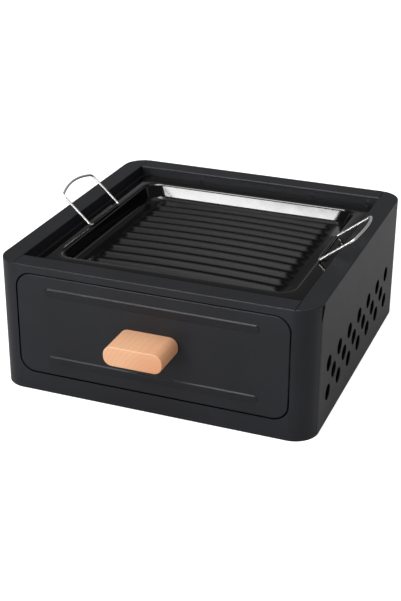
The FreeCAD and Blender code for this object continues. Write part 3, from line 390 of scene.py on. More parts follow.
def add(tree, kind, settings=None, inputs=None):
    """Adds a node of a kind, with its settings and inputs. The setting stops is for a colour ramp: the
    place and the hex colour of each of its two stops."""
    node = tree.nodes.new(kind)
    for key, value in (settings or {}).items():
        if key == "stops":
            for stop, (place, colour) in zip(node.color_ramp.elements, value):
                stop.position = place
                stop.color = linear(colour)
        else:
            setattr(node, key, value)
    plug(tree, node, inputs or {})
    return node


def per(size):
    """The scale at which a noise has features of a size in millimetres."""
    return 1 / (size * MM)


def coat(name, dark, light, roughness, specular, peel_size, peel_height):
    """Powder coat, sprayed on sheet steel and baked. It gives a dull, even black with a fine orange
    peel, of a size and height in millimetres, and a faint cloudy change of tone and gloss."""
    made, tree, shader = material(name)
    where = add(tree, "ShaderNodeTexCoord").outputs["Object"]
    cloud = add(tree, "ShaderNodeTexNoise", None,
                {"Vector": where, "Scale": per(CLOUD), "Detail": 4.0}).outputs["Fac"]
    tone = add(tree, "ShaderNodeValToRGB", {"stops": ((0.35, dark), (0.65, light))}, {"Fac": cloud})
    peel = add(tree, "ShaderNodeTexNoise", None,
               {"Vector": where, "Scale": per(peel_size), "Detail": 2.0})
    rough = add(tree, "ShaderNodeMapRange", None,
                {"Value": cloud, "To Min": roughness - COAT_CHANGE,
                 "To Max": roughness + COAT_CHANGE})
    bump = add(tree, "ShaderNodeBump", None,
               {"Strength": 1.0, "Distance": peel_height * MM, "Height": peel.outputs["Fac"]})
    plug(tree, shader, {"Base Color": tone.outputs["Color"], "Roughness": rough.outputs["Result"],
                        "Specular IOR Level": specular, "Normal": bump.outputs["Normal"]})
    return made


def enamel():
    """Vitreous enamel, fired on steel. It gives a near black glass with a slow waviness. The ribbed
    floor is satin, rougher and with less gloss. Its colour holds painted light: a painted highlight,
    greyer along the crests of its ribs, and painted shade, near black, in the valleys between them.
    The pan's mesh carries the satin share and the share of a rib's height as attributes from 0 to 1."""
    made, tree, shader = material("black_vitreous_enamel")
    where = add(tree, "ShaderNodeTexCoord").outputs["Object"]
    painted_crest_light = add(tree, "ShaderNodeAttribute", {"attribute_name": "painted_crest_light"})
    # Painted light in the colour: the ramp paints the rib crests lighter grey, a painted highlight, and
    # the valleys near black, painted shade.
    tone = add(tree, "ShaderNodeValToRGB", {"stops": ((0.68, "#050506"), (1.0, "#29292b"))},
               {"Fac": painted_crest_light.outputs["Fac"]})
    haze = add(tree, "ShaderNodeTexNoise", None, {"Vector": where, "Scale": per(HAZE), "Detail": 3.0})
    glossy = add(tree, "ShaderNodeMapRange", None,
                 {"Value": haze.outputs["Fac"], "To Min": ENAMEL_ROUGH[0],
                  "To Max": ENAMEL_ROUGH[1]})
    satin = add(tree, "ShaderNodeAttribute", {"attribute_name": "satin"}).outputs["Fac"]
    rough = add(tree, "ShaderNodeMath", {"operation": "MULTIPLY_ADD"},
                {0: satin, 1: SATIN_ROUGH, 2: glossy.outputs["Result"]})
    gloss = add(tree, "ShaderNodeMapRange", None,
                {"Value": satin, "To Min": ENAMEL_GLOSS[0], "To Max": ENAMEL_GLOSS[1]})
    wave = add(tree, "ShaderNodeTexNoise", None,
               {"Vector": where, "Scale": per(WAVINESS), "Detail": 1.0})
    bump = add(tree, "ShaderNodeBump", None,
               {"Strength": 1.0, "Distance": WAVE_HEIGHT * MM, "Height": wave.outputs["Fac"]})
    plug(tree, shader, {"Base Color": tone.outputs["Color"], "Roughness": rough.outputs["Value"],
                        "Specular IOR Level": gloss.outputs["Result"], "IOR": 1.5,
                        "Normal": bump.outputs["Normal"]})
    return made


def bright_steel(name, colour, roughness):
    """Bare steel: stainless wire, drawn through a die and polished, or zinc plate on small parts. It
    gives bright reflections, a little broken by fine lines along the wire."""
    made, tree, shader = material(name)
    where = add(tree, "ShaderNodeTexCoord").outputs["Object"]
    stretch = add(tree, "ShaderNodeMapping", None,
                  {"Vector": where, "Scale": (1.0, DRAWN_OUT, 1.0)})
    lines = add(tree, "ShaderNodeTexNoise", None,
                {"Vector": stretch.outputs["Vector"], "Scale": per(DRAWN_LINE), "Detail": 2.0})
    rough = add(tree, "ShaderNodeMapRange", None,
                {"Value": lines.outputs["Fac"], "To Min": roughness + LINE_CHANGE[0],
                 "To Max": roughness + LINE_CHANGE[1]})
    bump = add(tree, "ShaderNodeBump", None,
               {"Strength": 1.0, "Distance": LINE_HEIGHT * MM, "Height": lines.outputs["Fac"]})
    plug(tree, shader, {"Base Color": linear(colour), "Metallic": 1.0,
                        "Roughness": rough.outputs["Result"], "Normal": bump.outputs["Normal"]})
    return made


def beech():
    """Beech, cut to a block and sanded, with no varnish. It gives a pale, dull wood with growth rings
    about a pith to the lower right of the block, redder towards it, and fine pores along the grain."""
    made, tree, shader = material("sanded_beech")
    where = add(tree, "ShaderNodeTexCoord").outputs["Object"]
    pith = add(tree, "ShaderNodeMapping", None,
               {"Vector": where, "Location": PITH_PLACE, "Rotation": PITH_TURN})
    rings = add(tree, "ShaderNodeTexWave", {"wave_type": "RINGS", "rings_direction": "Y"},
                {"Vector": pith.outputs["Vector"], "Scale": WAVE_TURN * per(GROWTH_RING),
                 "Distortion": 1.6, "Detail": 2.0, "Detail Scale": 0.9, "Detail Roughness": 0.5})
    tone = add(tree, "ShaderNodeValToRGB", {"stops": ((0.0, "#dea67c"), (1.0, "#e1ac83"))},
               {"Fac": rings.outputs["Fac"]})
    across = add(tree, "ShaderNodeVectorMath", {"operation": "MULTIPLY"},
                 {0: pith.outputs["Vector"], 1: (1.0, 0.0, 1.0)})
    away = add(tree, "ShaderNodeVectorMath", {"operation": "LENGTH"}, {0: across.outputs["Vector"]})
    redder = add(tree, "ShaderNodeMapRange", None,
                 {"Value": away.outputs["Value"], "From Min": HEART_REACH[0] * MM,
                  "From Max": HEART_REACH[1] * MM, "To Min": HEART_SHARE, "To Max": 0.0})
    heart = add(tree, "ShaderNodeMix", {"data_type": "RGBA"},
                {"Factor": redder.outputs["Result"], "A": tone.outputs["Color"],
                 "B": linear("#d08a5d")})
    grain = add(tree, "ShaderNodeMapping", None, {"Vector": where, "Scale": (1.0, PORES_OUT, 1.0)})
    pores = add(tree, "ShaderNodeTexNoise", None,
                {"Vector": grain.outputs["Vector"], "Scale": per(PORE), "Detail": 2.0})
    bump = add(tree, "ShaderNodeBump", None,
               {"Strength": 0.6, "Distance": PORE_HEIGHT * MM, "Height": pores.outputs["Fac"]})
    plug(tree, shader, {"Base Color": heart.outputs["Result"], "Roughness": 0.6,
                        "Sheen Weight": 0.15, "Sheen Roughness": 0.35,
                        "Sheen Tint": linear("#ffe4d2"), "Normal": bump.outputs["Normal"]})
    return made


housing_coat = coat("satin_black_powder_coat", dark="#17181c", light="#1b1c21", roughness=0.44,
                    specular=0.22, peel_size=0.9, peel_height=0.012)
inner_coat = coat("matt_black_heat_coat", dark="#161616", light="#1f1f1e", roughness=0.62,
                  specular=0.35, peel_size=1.2, peel_height=0.030)
pan_enamel = enamel()
wire_steel = bright_steel("drawn_stainless_wire", "#cfcecb", 0.42)
zinc = bright_steel("zinc_plated_steel", "#8e8f90", 0.38)
knob_wood = beech()


def finished(piece, look, body, node):
    """Gives a piece its material and body, and puts it in the place of a node."""
    piece.data.materials.clear()
    piece.data.materials.append(look)
    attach(piece, body)
    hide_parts(node)
    return piece


# Panels and hidden pieces keep the constructed shape, with smooth shading round their bends. EDGES
# gives how far the cut edges of the sheet are rounded, in millimetres.

HOUSING_FINISH = {
    "housing_coat": (housing_coat, ("front_panel", "back_panel", "left_side_panel",
                                    "right_side_panel", "ledge_frame", "front_left_seam_strap",
                                    "front_right_seam_strap", "back_left_seam_strap",
                                    "back_right_seam_strap", "ledge_rivets")),
    "inner_steel": (inner_coat, ("base_plate", "heat_shield", "left_runner", "right_runner")),
    "rivet_steel": (zinc, ("runner_rivets",)),
}
DRAWER_FINISH = {
    "inner_steel": (inner_coat, ("drawer_tray", "fire_tray")),
    "rivet_steel": (zinc, ("knob_screws", "knob_washers")),
}
EDGES = {"front_panel": 0.4, "back_panel": 0.4, "left_side_panel": 0.25, "right_side_panel": 0.25,
         "ledge_frame": 0.15, "heat_shield": 0.15, "drawer_tray": 0.15, "fire_tray": 0.15}
for body, table in (("housing", HOUSING_FINISH), ("drawer", DRAWER_FINISH)):
    for slot, (look, names) in table.items():
        for node in names:
            finished(skin(node, EDGES.get(node, 0.0), SKIN_SHARP), look, body, node)


# Rivets in the well: pressed nearly flush, then coated with the ledge. WELL is half the well's width
# and depth. A head rises up to HEAD_RISE from its wall and stays HEAD_SPREAD clear of the corners.

WELL = (139.5, 140.0)
HEAD_RISE = 4.0
HEAD_SPREAD = 8.0
HEAD_SHARE = 0.2


def press_rivets(mesh):
    """Presses the heads flat. Points just inside a wall of the well keep a share of their distance
    from it."""
    points = points_of(mesh)
    for axis, wall in enumerate(WELL):
        away = np.abs(points[:, axis])
        beside = np.abs(points[:, 1 - axis])
        head = (away < wall) & (away > wall - HEAD_RISE) & (beside < wall - HEAD_SPREAD)
        flat = wall - (wall - away) * HEAD_SHARE
        points[:, axis] = np.where(head, np.sign(points[:, axis]) * flat, points[:, axis])
    mesh.vertices.foreach_set("co", (points * MM).ravel())
    mesh.update()


press_rivets(bpy.data.objects["ledge_rivets_skin"].data)


# Drawer front. The grid has close columns over a bead's ends, between FINE_FROM and FINE_TO, and close
# rows over its upper step, between STEP_LOW and STEP_HIGH, which are counted from the bead's top.

FINE_FROM = BEAD_HALF - 5.4
FINE_TO = BEAD_HALF + 0.6
FINE_COLUMNS = 25
WIDE_TO = BEAD_HALF - 7.0
WIDE_COLUMNS = 34
BEYOND = BEAD_HALF + 6.0
SLOPE_HIGH, SLOPE_ROWS = -1.7, 20
STEP_LOW, STEP_HIGH, STEP_ROWS = -1.55, 0.1, 12
PLAIN_LOW, PLAIN_ROWS = 0.8, 12
FOOT_ROWS = 5
ROW_GAP = 1.0
EDGE_RINGS = 6


def bead_height(x, z):
    """Two pressed beads. Inside a bead's outline the sheet climbs over BEAD_STEP in a smooth step. It
    keeps that height for BEAD_FLAT, and slopes back to the face by the bead's lower edge."""
    total = np.zeros_like(x)
    for top in BEAD_TOPS:
        middle = top - BEAD_HEIGHT / 2
        side = np.maximum(np.abs(x) - (BEAD_HALF - BEAD_CORNER), 0)
        rise = np.maximum(np.abs(z - middle) - (BEAD_HEIGHT / 2 - BEAD_CORNER), 0)
        within = BEAD_CORNER - np.hypot(side, rise)
        step = np.clip(within / BEAD_STEP, 0, 1)
        fade = np.clip((z - (top - BEAD_HEIGHT)) / (BEAD_HEIGHT - BEAD_FLAT), 0, 1)
        total += BEAD_RISE * step * step * (3 - 2 * step) * fade ** BEAD_FADE
    return total


def drawer_front():
    """The pressed plate: the beaded face, a quarter round edge, a lip turned back, and the inside."""
    half_x = (face_high[0] - face_low[0]) / 2
    half_z = (face_high[2] - face_low[2]) / 2
    middle = (face_high[2] + face_low[2]) / 2
    front = face_low[1] + BEAD_RISE
    inner_x, inner_z, corner = half_x - FACE_GAUGE, half_z - FACE_GAUGE, FACE_CORNER - FACE_GAUGE
    fine = np.linspace(FINE_FROM, FINE_TO, FINE_COLUMNS)
    columns = np.concatenate([[corner - inner_x, -BEYOND], -fine[::-1],
                              np.linspace(-WIDE_TO, WIDE_TO, WIDE_COLUMNS), fine,
                              [BEYOND, inner_x - corner]])
    feet = [top - BEAD_HEIGHT - middle - ROW_GAP for top in BEAD_TOPS]
    levels = [np.linspace(-inner_z, feet[1], FOOT_ROWS)]
    for top, until in ((BEAD_TOPS[1], feet[0]), (BEAD_TOPS[0], inner_z)):
        level = top - middle
        levels += [np.linspace(level - BEAD_HEIGHT, level + SLOPE_HIGH, SLOPE_ROWS),
                   np.linspace(level + STEP_LOW, level + STEP_HIGH, STEP_ROWS),
                   np.linspace(level + PLAIN_LOW, until, PLAIN_ROWS)]
    x, z = rounded_grid(inner_x, inner_z, corner, columns, np.concatenate(levels) / inner_z)
    rise = bead_height(x, z + middle)
    top = np.stack([x, front - rise, z + middle], -1)
    low = np.stack([x, front + FACE_GAUGE - rise, z + middle], -1)
    outline = outline_of((x, z), inner_x, inner_z, corner)

    def ring(inset, y):
        flat = ring_on(outline, half_x - inset, half_z - inset, FACE_CORNER - inset)
        return np.column_stack([flat[:, 0], np.full(len(flat), y), flat[:, 1] + middle])

    rings = [ring(FACE_ROUND * (1 - math.sin(a)), front + FACE_ROUND * (1 - math.cos(a)))
             for a in np.linspace(0, math.pi / 2, EDGE_RINGS)]
    end = front + FACE_LIP
    rings += [ring(*place) for place in (
        (0, end - LIP_ROUND), (LIP_ROUND, end), (FACE_GAUGE - LIP_ROUND, end),
        (FACE_GAUGE, end - LIP_ROUND), (FACE_GAUGE, front + FACE_GAUGE + LIP_FOLD))]
    piece = mesh_object("drawer_front_pressed", *shell(top, rings, low, outline[0]))
    return finished(clean(piece), housing_coat, "drawer", "drawer_front")


drawer_front()


# Grill pan. Its floor's grid has close columns past END_FROM, over the round ends of the ribs.

END_FROM = 70.0
END_COLUMNS = 12
MIDDLE_TO = 60.0
MIDDLE_COLUMNS = 13
FLOOR_ROWS = 265

# Where the enamel is satin: out to SATIN_SIDE, all over the floor, and beyond it up the front and back
# walls to BAND_DEPTH. Depths count down from the rim, and the bowl begins at RIM_DEPTH.

SATIN_SIDE = 105.0
SATIN_FADE = 4.0
RIM_DEPTH = 4.0
BAND_DEPTH = 13.0
BAND_FADE = 1.0


def bowl_profile():
    """The pan's section: distance in from the opening's edge and level, from the rim to the floor.
    The rim and the leaning wall are lines, joined by an arc, and so are the wall and the floor."""
    lean = math.atan2(BOWL_DRAFT, BOWL_DROP)
    turn = math.pi / 2 - lean
    alpha = np.linspace(0, turn, ARC_STEPS)
    reach = BEND * math.tan(turn / 2)
    top = np.stack([-reach + BEND * np.sin(alpha), PAN_TOP - BEND + BEND * np.cos(alpha)], -1)
    foot_reach = FOOT_BEND * math.tan(turn / 2)
    beta = alpha[::-1]
    floor_z = PAN_TOP - BOWL_DROP
    foot = np.stack([BOWL_DRAFT + foot_reach - FOOT_BEND * np.sin(beta),
                     floor_z + FOOT_BEND - FOOT_BEND * np.cos(beta)], -1)
    return np.concatenate([top, foot])


def floor_height(x, y):
    """A crowned floor with ribs, and each point's share of a rib's height. The crown falls with the
    square of x and of y, and fades out at the edges. A rib is a finger: its height is a power of a
    raised cosine of the distance from its middle line, which stops short of the rib's ends, so that
    they are round."""
    crown = CROWN_BASE + CROWN_X * (1 - (x / RIB_HALF) ** 2) - CROWN_Y * (y / RIB_HALF) ** 2
    side = np.clip((CROWN_SIDE - np.abs(x)) / CROWN_SIDE_FADE, 0, 1)
    end = np.clip((FLOOR_END - np.abs(y)) / CROWN_END_FADE, 0, 1)
    crown = np.maximum(crown, 0.0) * side * side * (3 - 2 * side) * end
    across = (y / RIB_PITCH) % 1.0 - 0.5
    along = np.maximum(np.abs(x) - (RIB_HALF - RIB_REACH), 0)
    away = np.clip(np.hypot(across * RIB_PITCH, along) / RIB_REACH, 0, 1)
    inside = np.abs(y) < RIBS / 2 * RIB_PITCH
    rib = (0.5 + 0.5 * np.cos(math.pi * away)) ** RIB_POWER * inside
    return PAN_TOP - BOWL_DROP + crown + RIB_HEIGHT * rib, rib


def grill_pan():
    """The ribbed floor, then rings outwards that follow the section: foot bend, leaning wall, upper
    bend, flat rim, its rolled edge, and the same way back underneath."""
    section = bowl_profile()[::-1]
    step = np.gradient(section, axis=0)
    normal = np.stack([step[:, 1], -step[:, 0]], -1) / np.linalg.norm(step, axis=1)[:, None]
    under = section - normal * PAN_GAUGE
    inset = section[0, 0]
    half_x, half_y, corner = BOWL_X - inset, BOWL_Y - inset, BOWL_FOOT_CORNER
    core = half_x - corner
    columns = np.concatenate([np.linspace(-core, -END_FROM, END_COLUMNS),
                              np.linspace(-MIDDLE_TO, MIDDLE_TO, MIDDLE_COLUMNS),
                              np.linspace(END_FROM, core, END_COLUMNS)])
    x, y = rounded_grid(half_x, half_y, corner, columns, np.linspace(-1, 1, FLOOR_ROWS))
    top = np.stack([x, y + PAN_Y, floor_height(x, y)[0]], -1)
    low = top - [0, 0, PAN_GAUGE]
    outline = outline_of((x, y), half_x, half_y, corner)

    def ring(level_x, level_y, radius, z):
        flat = ring_on(outline, level_x, level_y, radius)
        return np.column_stack([flat[:, 0], flat[:, 1] + PAN_Y, np.full(len(flat), z)])

    def bowl_ring(inset, z):
        share = np.clip((PAN_TOP - z) / BOWL_DROP, 0, 1)
        radius = BOWL_CORNER + (BOWL_FOOT_CORNER - BOWL_CORNER) * share - min(inset, 0.0)
        return ring(BOWL_X - inset, BOWL_Y - inset, radius, z)

    def rim_ring(inset, z):
        return ring(PAN_HALF - inset, PAN_HALF - inset, PAN_CORNER - inset, z)

    half = PAN_GAUGE / 2
    rings = [bowl_ring(*place) for place in section[1:]]
    rings += [rim_ring(half * (1 - math.sin(a)), PAN_TOP - half * (1 - math.cos(a)))
              for a in np.linspace(0, math.pi, ARC_STEPS)]
    rings += [bowl_ring(*place) for place in under[:0:-1]]
    return shell(top, rings, low, outline[0])


def write_shares(mesh):
    """Writes the enamel's two attributes. The first is a point's share of its rib's height, from which
    the enamel paints the rib crests lighter, as painted highlight, and the valleys near black, as
    painted shade. satin is 1 over the floor, and falls in a line to 0 at the sides and up the front and
    back walls."""
    points = points_of(mesh)
    x, y, depth = np.abs(points[:, 0]), points[:, 1] - PAN_Y, PAN_TOP - points[:, 2]
    in_bowl = depth > RIM_DEPTH
    painted_crest_light = floor_height(x, y)[1] * (in_bowl & (depth < BOWL_DROP) & (x < RIB_HALF))
    band = np.clip((depth - BAND_DEPTH) / BAND_FADE, 0, 1)
    satin = np.clip((SATIN_SIDE - x) / SATIN_FADE, 0, 1)
    satin *= np.where(in_bowl & (np.abs(y) < FLOOR_END), 1, band)
    for label, values in (("painted_crest_light", painted_crest_light), ("satin", satin)):
        attribute = mesh.attributes.new(label, "FLOAT", "POINT")
        attribute.data.foreach_set("value", values.astype(np.float32))


pan = mesh_object("grill_pan_enamelled", *grill_pan())
finished(clean(pan), pan_enamel, "pan", "grill_pan")
write_shares(pan.data)


# Bails and their clips.

def bail_path():
    """The wire's centre line in its own plane: rod, leg, arched grip, leg and rod, joined by arcs."""
    grip = (BAIL_HALF ** 2 + BAIL_BOW ** 2) / (2 * BAIL_BOW)
    centre = BAIL_LEG + BAIL_BOW - grip
    rise = math.sqrt((grip - BAIL_BEND) ** 2 - (BAIL_HALF - BAIL_BEND) ** 2)
    turn = math.atan2(rise, BAIL_HALF - BAIL_BEND)
    shoulder = centre + rise
    quarter = math.pi / 2

    def arc(x, y, radius, start, end, steps):
        angle = np.linspace(start, end, steps)
        return np.stack([x + radius * np.cos(angle), y + radius * np.sin(angle)], -1)

    foot = BAIL_FOOT_BEND
    half = np.concatenate([
        np.stack([np.linspace(BAIL_SPLIT / 2, BAIL_HALF - foot - RUN_GAP, ROD_POINTS),
                  np.zeros(ROD_POINTS)], -1),
        arc(BAIL_HALF - foot, foot, foot, -quarter, 0, ARC_STEPS),
        np.stack([np.full(LEG_POINTS, BAIL_HALF),
                  np.linspace(foot + RUN_GAP, shoulder - RUN_GAP, LEG_POINTS)], -1),
        arc(BAIL_HALF - BAIL_BEND, shoulder, BAIL_BEND, 0, turn, ARC_STEPS),
        arc(0, centre, grip, turn, quarter, GRIP_POINTS)[1:]])
    return np.concatenate([half, (half * [-1, 1])[::-1][1:]])


def bail(name, side, degrees):
    """The wire's plane turned about the rod, up from flat by the angle at which the bail rests."""
    flat = bail_path()
    lean = math.radians(degrees)
    path = np.stack([side * (ROD_X + flat[:, 1] * math.cos(lean)), PAN_Y + flat[:, 0],
                     ROD_Z + flat[:, 1] * math.sin(lean)], -1)
    piece = mesh_object(name + "_wire", *tube(path, WIRE / 2))
    return finished(clean(piece), wire_steel, name, name)


def clip(name, side):
    """The clip's section, carried along the rod: a half round sleeve, a short wall and a flat foot."""
    inner = WIRE / 2 + WIRE_CLEAR
    outer = inner + CLIP_GAUGE
    angle = np.linspace(math.pi, 0, 2 * ARC_STEPS - 1)
    over = np.stack([outer * np.cos(angle), ROD_Z + outer * np.sin(angle)], -1)
    foot_end = outer + CLIP_FOOT
    foot_top = PAN_TOP + CLIP_GAUGE
    step = np.array([[outer, foot_top], [foot_end - CLIP_ROUND, foot_top],
                     [foot_end, foot_top - CLIP_ROUND], [foot_end, PAN_TOP], [inner, PAN_TOP]])
    under = np.stack([inner * np.cos(angle[::-1]), ROD_Z + inner * np.sin(angle[::-1])], -1)
    close = np.array([[-inner, PAN_TOP], [-outer, PAN_TOP]])
    section = np.concatenate([over, step, under, close])
    count = len(section)
    points = np.concatenate([
        np.stack([side * (ROD_X + section[:, 0]), np.full(count, y), section[:, 1]], -1)
        for y in (PAN_Y - CLIP_HALF, PAN_Y + CLIP_HALF)])
    faces = quads(2, count, wrap=True).tolist() + end_caps(count, count)
    piece = mesh_object(name + "_strap", points, faces)
    return finished(clean(piece), pan_enamel, "pan", name)


for side_name, side, degrees in BAILS:
    bail(side_name + "_bail", side, degrees)
    clip(side_name + "_bail_clip", side)


# Knob. Its flat ends have rings at shares of the half height in from the edge.

BACK_SHARES = (0.98, 0.5, 0.0)
FRONT_SHARES = (0.4, 0.7, 0.98)
LEAST_CORNER = 0.05


def knob():
    """Rings of rounded rectangles: the back face, the side, a quarter round and the front face."""
    half_x = (knob_high[0] - knob_low[0]) / 2
    half_z = (knob_high[2] - knob_low[2]) / 2
    middle = (knob_high[2] + knob_low[2]) / 2
    front, back = knob_low[1], knob_high[1]
    rows = [(half_z * share, back) for share in BACK_SHARES]
    rows += [(0.0, y) for y in np.linspace(back, front + KNOB_ROUND, KNOB_ROWS)[1:]]
    rows += [(KNOB_ROUND * (1 - math.cos(a)), front + KNOB_ROUND * (1 - math.sin(a)))
             for a in np.linspace(0, math.pi / 2, ARC_STEPS)[1:]]
    rows += [(half_z * share, front) for share in FRONT_SHARES]
    rings = []
    for inset, y in rows:
        flat = rounded_ring(half_x - inset, half_z - inset, max(KNOB_CORNER - inset, LEAST_CORNER))
        rings.append(np.column_stack([flat[:, 0], np.full(len(flat), y), flat[:, 1] + middle]))
    count = len(rings[0])
    faces = quads(len(rings), count, wrap=True).tolist() + end_caps(count, (len(rings) - 1) * count)
    piece = mesh_object("knob_block", np.concatenate(rings), faces)
    return finished(clean(piece), knob_wood, "drawer", "knob")


knob()


# Charcoal grate: a welded wire grid on four legs.

for node in ("charcoal_grate", "grate_legs"):
    finished(skin(node, 0.0, GRATE_SHARP), wire_steel, "drawer", node)


# Studio: a pale floor, a white room, soft lamps, and for gloss a grey light tent with three softboxes.
# Its lengths are metres.

BLACK = (0.0, 0.0, 0.0, 1.0)
WHITE = (1.0, 1.0, 1.0, 1.0)
FLOOR_SIZE = 5.4
FLOOR_LEVEL = -0.0002
FLOOR_GREY = (0.62, 0.62, 0.62, 1.0)
FLOOR_LIFT = 0.75
FLOOR_MIRRORED = 0.05
ROOM_LIGHT = 0.55
CARD_TARGET = (0, 0, 0.1)

# The tent's cloth glows with TENT_FORE in front and TENT_LOW behind, which change over TENT_TURN, and
# with TENT_HIGH above TENT_LINE. TENT_ROOF is added over TENT_TOP. Those three ranges are of a
# direction's y or z. TENT_HOLE is the angle, in radians, that stays open about its top.

TENT_RADIUS = 2.8
TENT_RINGS, TENT_SIDES = 20, 48
TENT_HOLE = 0.02
TENT_LINE = (0.375, 0.42)
TENT_TURN = (-0.1, 0.3)
TENT_FORE = 0.06
TENT_LOW = 0.36
TENT_HIGH = 0.12
TENT_TOP = (0.80, 0.92)
TENT_ROOF = 0.6


def floor_look():
    """White paper sweep. For the camera it is lifted to white, and its shadow stays."""
    made, tree, shader = material("white_paper_sweep")
    rays = add(tree, "ShaderNodeLightPath")
    seen = add(tree, "ShaderNodeMath", {"operation": "MAXIMUM"},
               {0: rays.outputs["Is Camera Ray"], 1: rays.outputs["Is Transmission Ray"]})
    seen = add(tree, "ShaderNodeMath", {"operation": "MULTIPLY"},
               {0: seen.outputs["Value"], 1: FLOOR_LIFT})
    mirrored = add(tree, "ShaderNodeMath", {"operation": "MULTIPLY_ADD"},
                   {0: rays.outputs["Is Glossy Ray"], 1: FLOOR_MIRRORED, 2: seen.outputs["Value"]})
    plug(tree, shader, {"Base Color": FLOOR_GREY, "Roughness": 0.9, "Specular IOR Level": 0.1,
                        "Emission Color": WHITE, "Emission Strength": mirrored.outputs["Value"]})
    return made


def lit_cloth(name):
    """White cloth with a lamp behind it: it only glows."""
    made, tree, shader = material(name)
    plug(tree, shader, {"Base Color": BLACK, "Specular IOR Level": 0.0, "Emission Color": WHITE})
    return made, tree, shader


def tent_look():
    """Cloth of a light tent, as gloss mirrors it, by the direction from the middle of the floor: dark
    in front, paler low down behind, darker again above a line, and bright in the roof."""
    made, tree, shader = lit_cloth("tent_cloth")
    where = add(tree, "ShaderNodeTexCoord").outputs["Object"]
    way = add(tree, "ShaderNodeVectorMath", {"operation": "NORMALIZE"}, {0: where})
    way = add(tree, "ShaderNodeSeparateXYZ", None, {"Vector": way.outputs["Vector"]})
    behind = add(tree, "ShaderNodeMapRange", None,
                 {"Value": way.outputs["Y"], "From Min": TENT_TURN[0], "From Max": TENT_TURN[1],
                  "To Min": TENT_FORE, "To Max": TENT_LOW})
    height = add(tree, "ShaderNodeMapRange", None,
                 {"Value": way.outputs["Z"], "From Min": TENT_LINE[0], "From Max": TENT_LINE[1],
                  "To Min": behind.outputs["Result"], "To Max": TENT_HIGH})
    roof = add(tree, "ShaderNodeMapRange", None,
               {"Value": way.outputs["Z"], "From Min": TENT_TOP[0], "From Max": TENT_TOP[1],
                "To Min": 0.0, "To Max": TENT_ROOF})
    total = add(tree, "ShaderNodeMath", {"operation": "ADD"},
                {0: height.outputs["Result"], 1: roof.outputs["Result"]})
    plug(tree, shader, {"Emission Strength": total.outputs["Value"]})
    return made


def stage_plane(name, size, place, turn, look):
    """A flat sheet of the set, size[0] by size[1], about its place."""
    w, h = size[0] / 2 / MM, size[1] / 2 / MM
    piece = mesh_object(name, [(-w, -h, 0), (w, -h, 0), (w, h, 0), (-w, h, 0)], [(0, 1, 2, 3)])
    piece.location = place
    piece.rotation_euler = turn
    piece.data.materials.append(look)
    return piece


def gloss_only(piece):
    """Lets only gloss show a piece of the set: the camera doesn't see it, and it casts no light or
    shadow."""
    piece.visible_camera = False
    piece.visible_shadow = False
    piece.visible_diffuse = False
    return piece


def tent():
    """A half ball over the set: rings of points at equal steps of elevation."""
    up = np.linspace(0.0, math.pi / 2 - TENT_HOLE, TENT_RINGS)
    turn = np.linspace(0, 2 * math.pi, TENT_SIDES, endpoint=False)
    up, turn = np.meshgrid(up, turn, indexing="ij")
    points = np.stack([np.cos(up) * np.cos(turn), np.cos(up) * np.sin(turn), np.sin(up)], -1)
    points = TENT_RADIUS / MM * points.reshape(-1, 3)
    piece = mesh_object("light_tent", points, quads(TENT_RINGS, TENT_SIDES, wrap=True))
    piece.data.materials.append(tent_look())
    return gloss_only(piece)


def card(name, azimuth, elevation, span, distance, strength):
    """A softbox for gloss, square to the object: its direction and its span in degrees."""
    az, el = math.radians(azimuth), math.radians(elevation)
    way = np.array([math.cos(el) * math.cos(az), math.cos(el) * math.sin(az), math.sin(el)])
    size = [2 * distance * math.tan(math.radians(s) / 2) for s in span]
    made, tree, shader = lit_cloth(name + "_cloth")
    plug(tree, shader, {"Emission Strength": strength})
    return gloss_only(stage_plane(name, size, distance * way + CARD_TARGET,
                                  (math.pi / 2 - el, 0, az + math.pi / 2), made))


def surround():
    """A white room, for the camera and for what gloss and glass show, and a plain soft light for the
    rest."""
    world = bpy.data.worlds.new("surround")
    bpy.context.scene.world = world
    world.use_nodes = True
    tree = world.node_tree
    tree.nodes.clear()
    rays = add(tree, "ShaderNodeLightPath")
    shown = add(tree, "ShaderNodeMath", {"operation": "MAXIMUM"},
                {0: rays.outputs["Is Camera Ray"], 1: rays.outputs["Is Glossy Ray"]})
    shown = add(tree, "ShaderNodeMath", {"operation": "MAXIMUM"},
                {0: shown.outputs["Value"], 1: rays.outputs["Is Transmission Ray"]})
    white = add(tree, "ShaderNodeBackground", None, {"Color": WHITE, "Strength": 1.0})
    soft = add(tree, "ShaderNodeBackground", None, {"Color": WHITE, "Strength": ROOM_LIGHT})
    mix = add(tree, "ShaderNodeMixShader", None,
              {"Fac": shown.outputs["Value"], 1: soft.outputs[0], 2: white.outputs[0]})
    add(tree, "ShaderNodeOutputWorld", None, {"Surface": mix.outputs[0]})


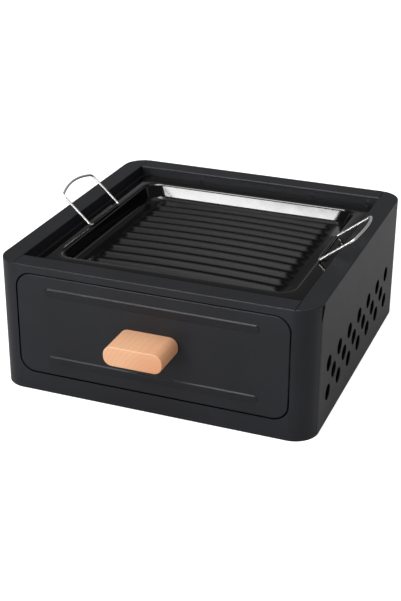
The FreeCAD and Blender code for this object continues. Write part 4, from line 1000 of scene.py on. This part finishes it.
def lamp(name, place, target, size, power):
    """A soft lamp that faces its target. Gloss doesn't show it."""
    data = bpy.data.lights.new(name, "AREA")
    data.shape = "RECTANGLE"
    data.size, data.size_y = size
    data.energy = power
    piece = bpy.data.objects.new(name, data)
    bpy.context.scene.collection.objects.link(piece)
    piece.location = place
    away = np.array(place, float) - np.array(target, float)
    away /= np.linalg.norm(away)
    piece.rotation_euler = (math.acos(away[2]), 0, math.atan2(away[1], away[0]) + math.pi / 2)
    piece.visible_glossy = False
    return piece


stage_plane("floor", (FLOOR_SIZE, FLOOR_SIZE), (0, 0, FLOOR_LEVEL), (0, 0, 0), floor_look())
tent()
card("softbox_left", azimuth=-108, elevation=11, span=(22, 13), distance=1.6, strength=24.0)
card("softbox_top", azimuth=-110, elevation=68, span=(40, 36), distance=1.6, strength=12.0)
card("softbox_right", azimuth=-8, elevation=12, span=(14, 14), distance=1.8, strength=4.0)
surround()
lamp("key", place=(-0.9, -1.6, 1.3), target=(0, 0, 0.08), size=(1.4, 1.0), power=33)
lamp("top", place=(0.2, 0.1, 1.8), target=(0, 0, 0.1), size=(1.2, 1.2), power=8)
lamp("fill", place=(1.8, -0.6, 0.9), target=(0, 0, 0.08), size=(1.2, 1.2), power=1)


# Camera: its place in metres, its turns, and its focal length in the photograph's pixels.

CAMERA_PLACE = (0.41622, -1.09982, 0.60090)
CAMERA_YAW = math.radians(21.26)
CAMERA_PITCH = math.radians(25.21)
CAMERA_ROLL = math.radians(0.284)
FOCAL_PIXELS = 1241.70
PHOTO_HEIGHT = 601
SENSOR = 36.0

camera_data = bpy.data.cameras.new("camera")
camera_data.sensor_fit = "AUTO"
camera_data.sensor_width = SENSOR
camera_data.lens = FOCAL_PIXELS / PHOTO_HEIGHT * SENSOR
camera = bpy.data.objects.new("camera", camera_data)
bpy.context.scene.collection.objects.link(camera)
view = np.array([-math.sin(CAMERA_YAW) * math.cos(CAMERA_PITCH),
                 math.cos(CAMERA_YAW) * math.cos(CAMERA_PITCH), -math.sin(CAMERA_PITCH)])
level = np.array([math.cos(CAMERA_YAW), math.sin(CAMERA_YAW), 0.0])
right = math.cos(CAMERA_ROLL) * level + math.sin(CAMERA_ROLL) * np.cross(level, view)
up = np.cross(right, view)
camera.matrix_world = Matrix([[right[k], up[k], -view[k], CAMERA_PLACE[k]] for k in range(3)]
                             + [[0, 0, 0, 1]])
bpy.context.scene.camera = camera
bpy.context.scene.view_settings.view_transform = "Standard"
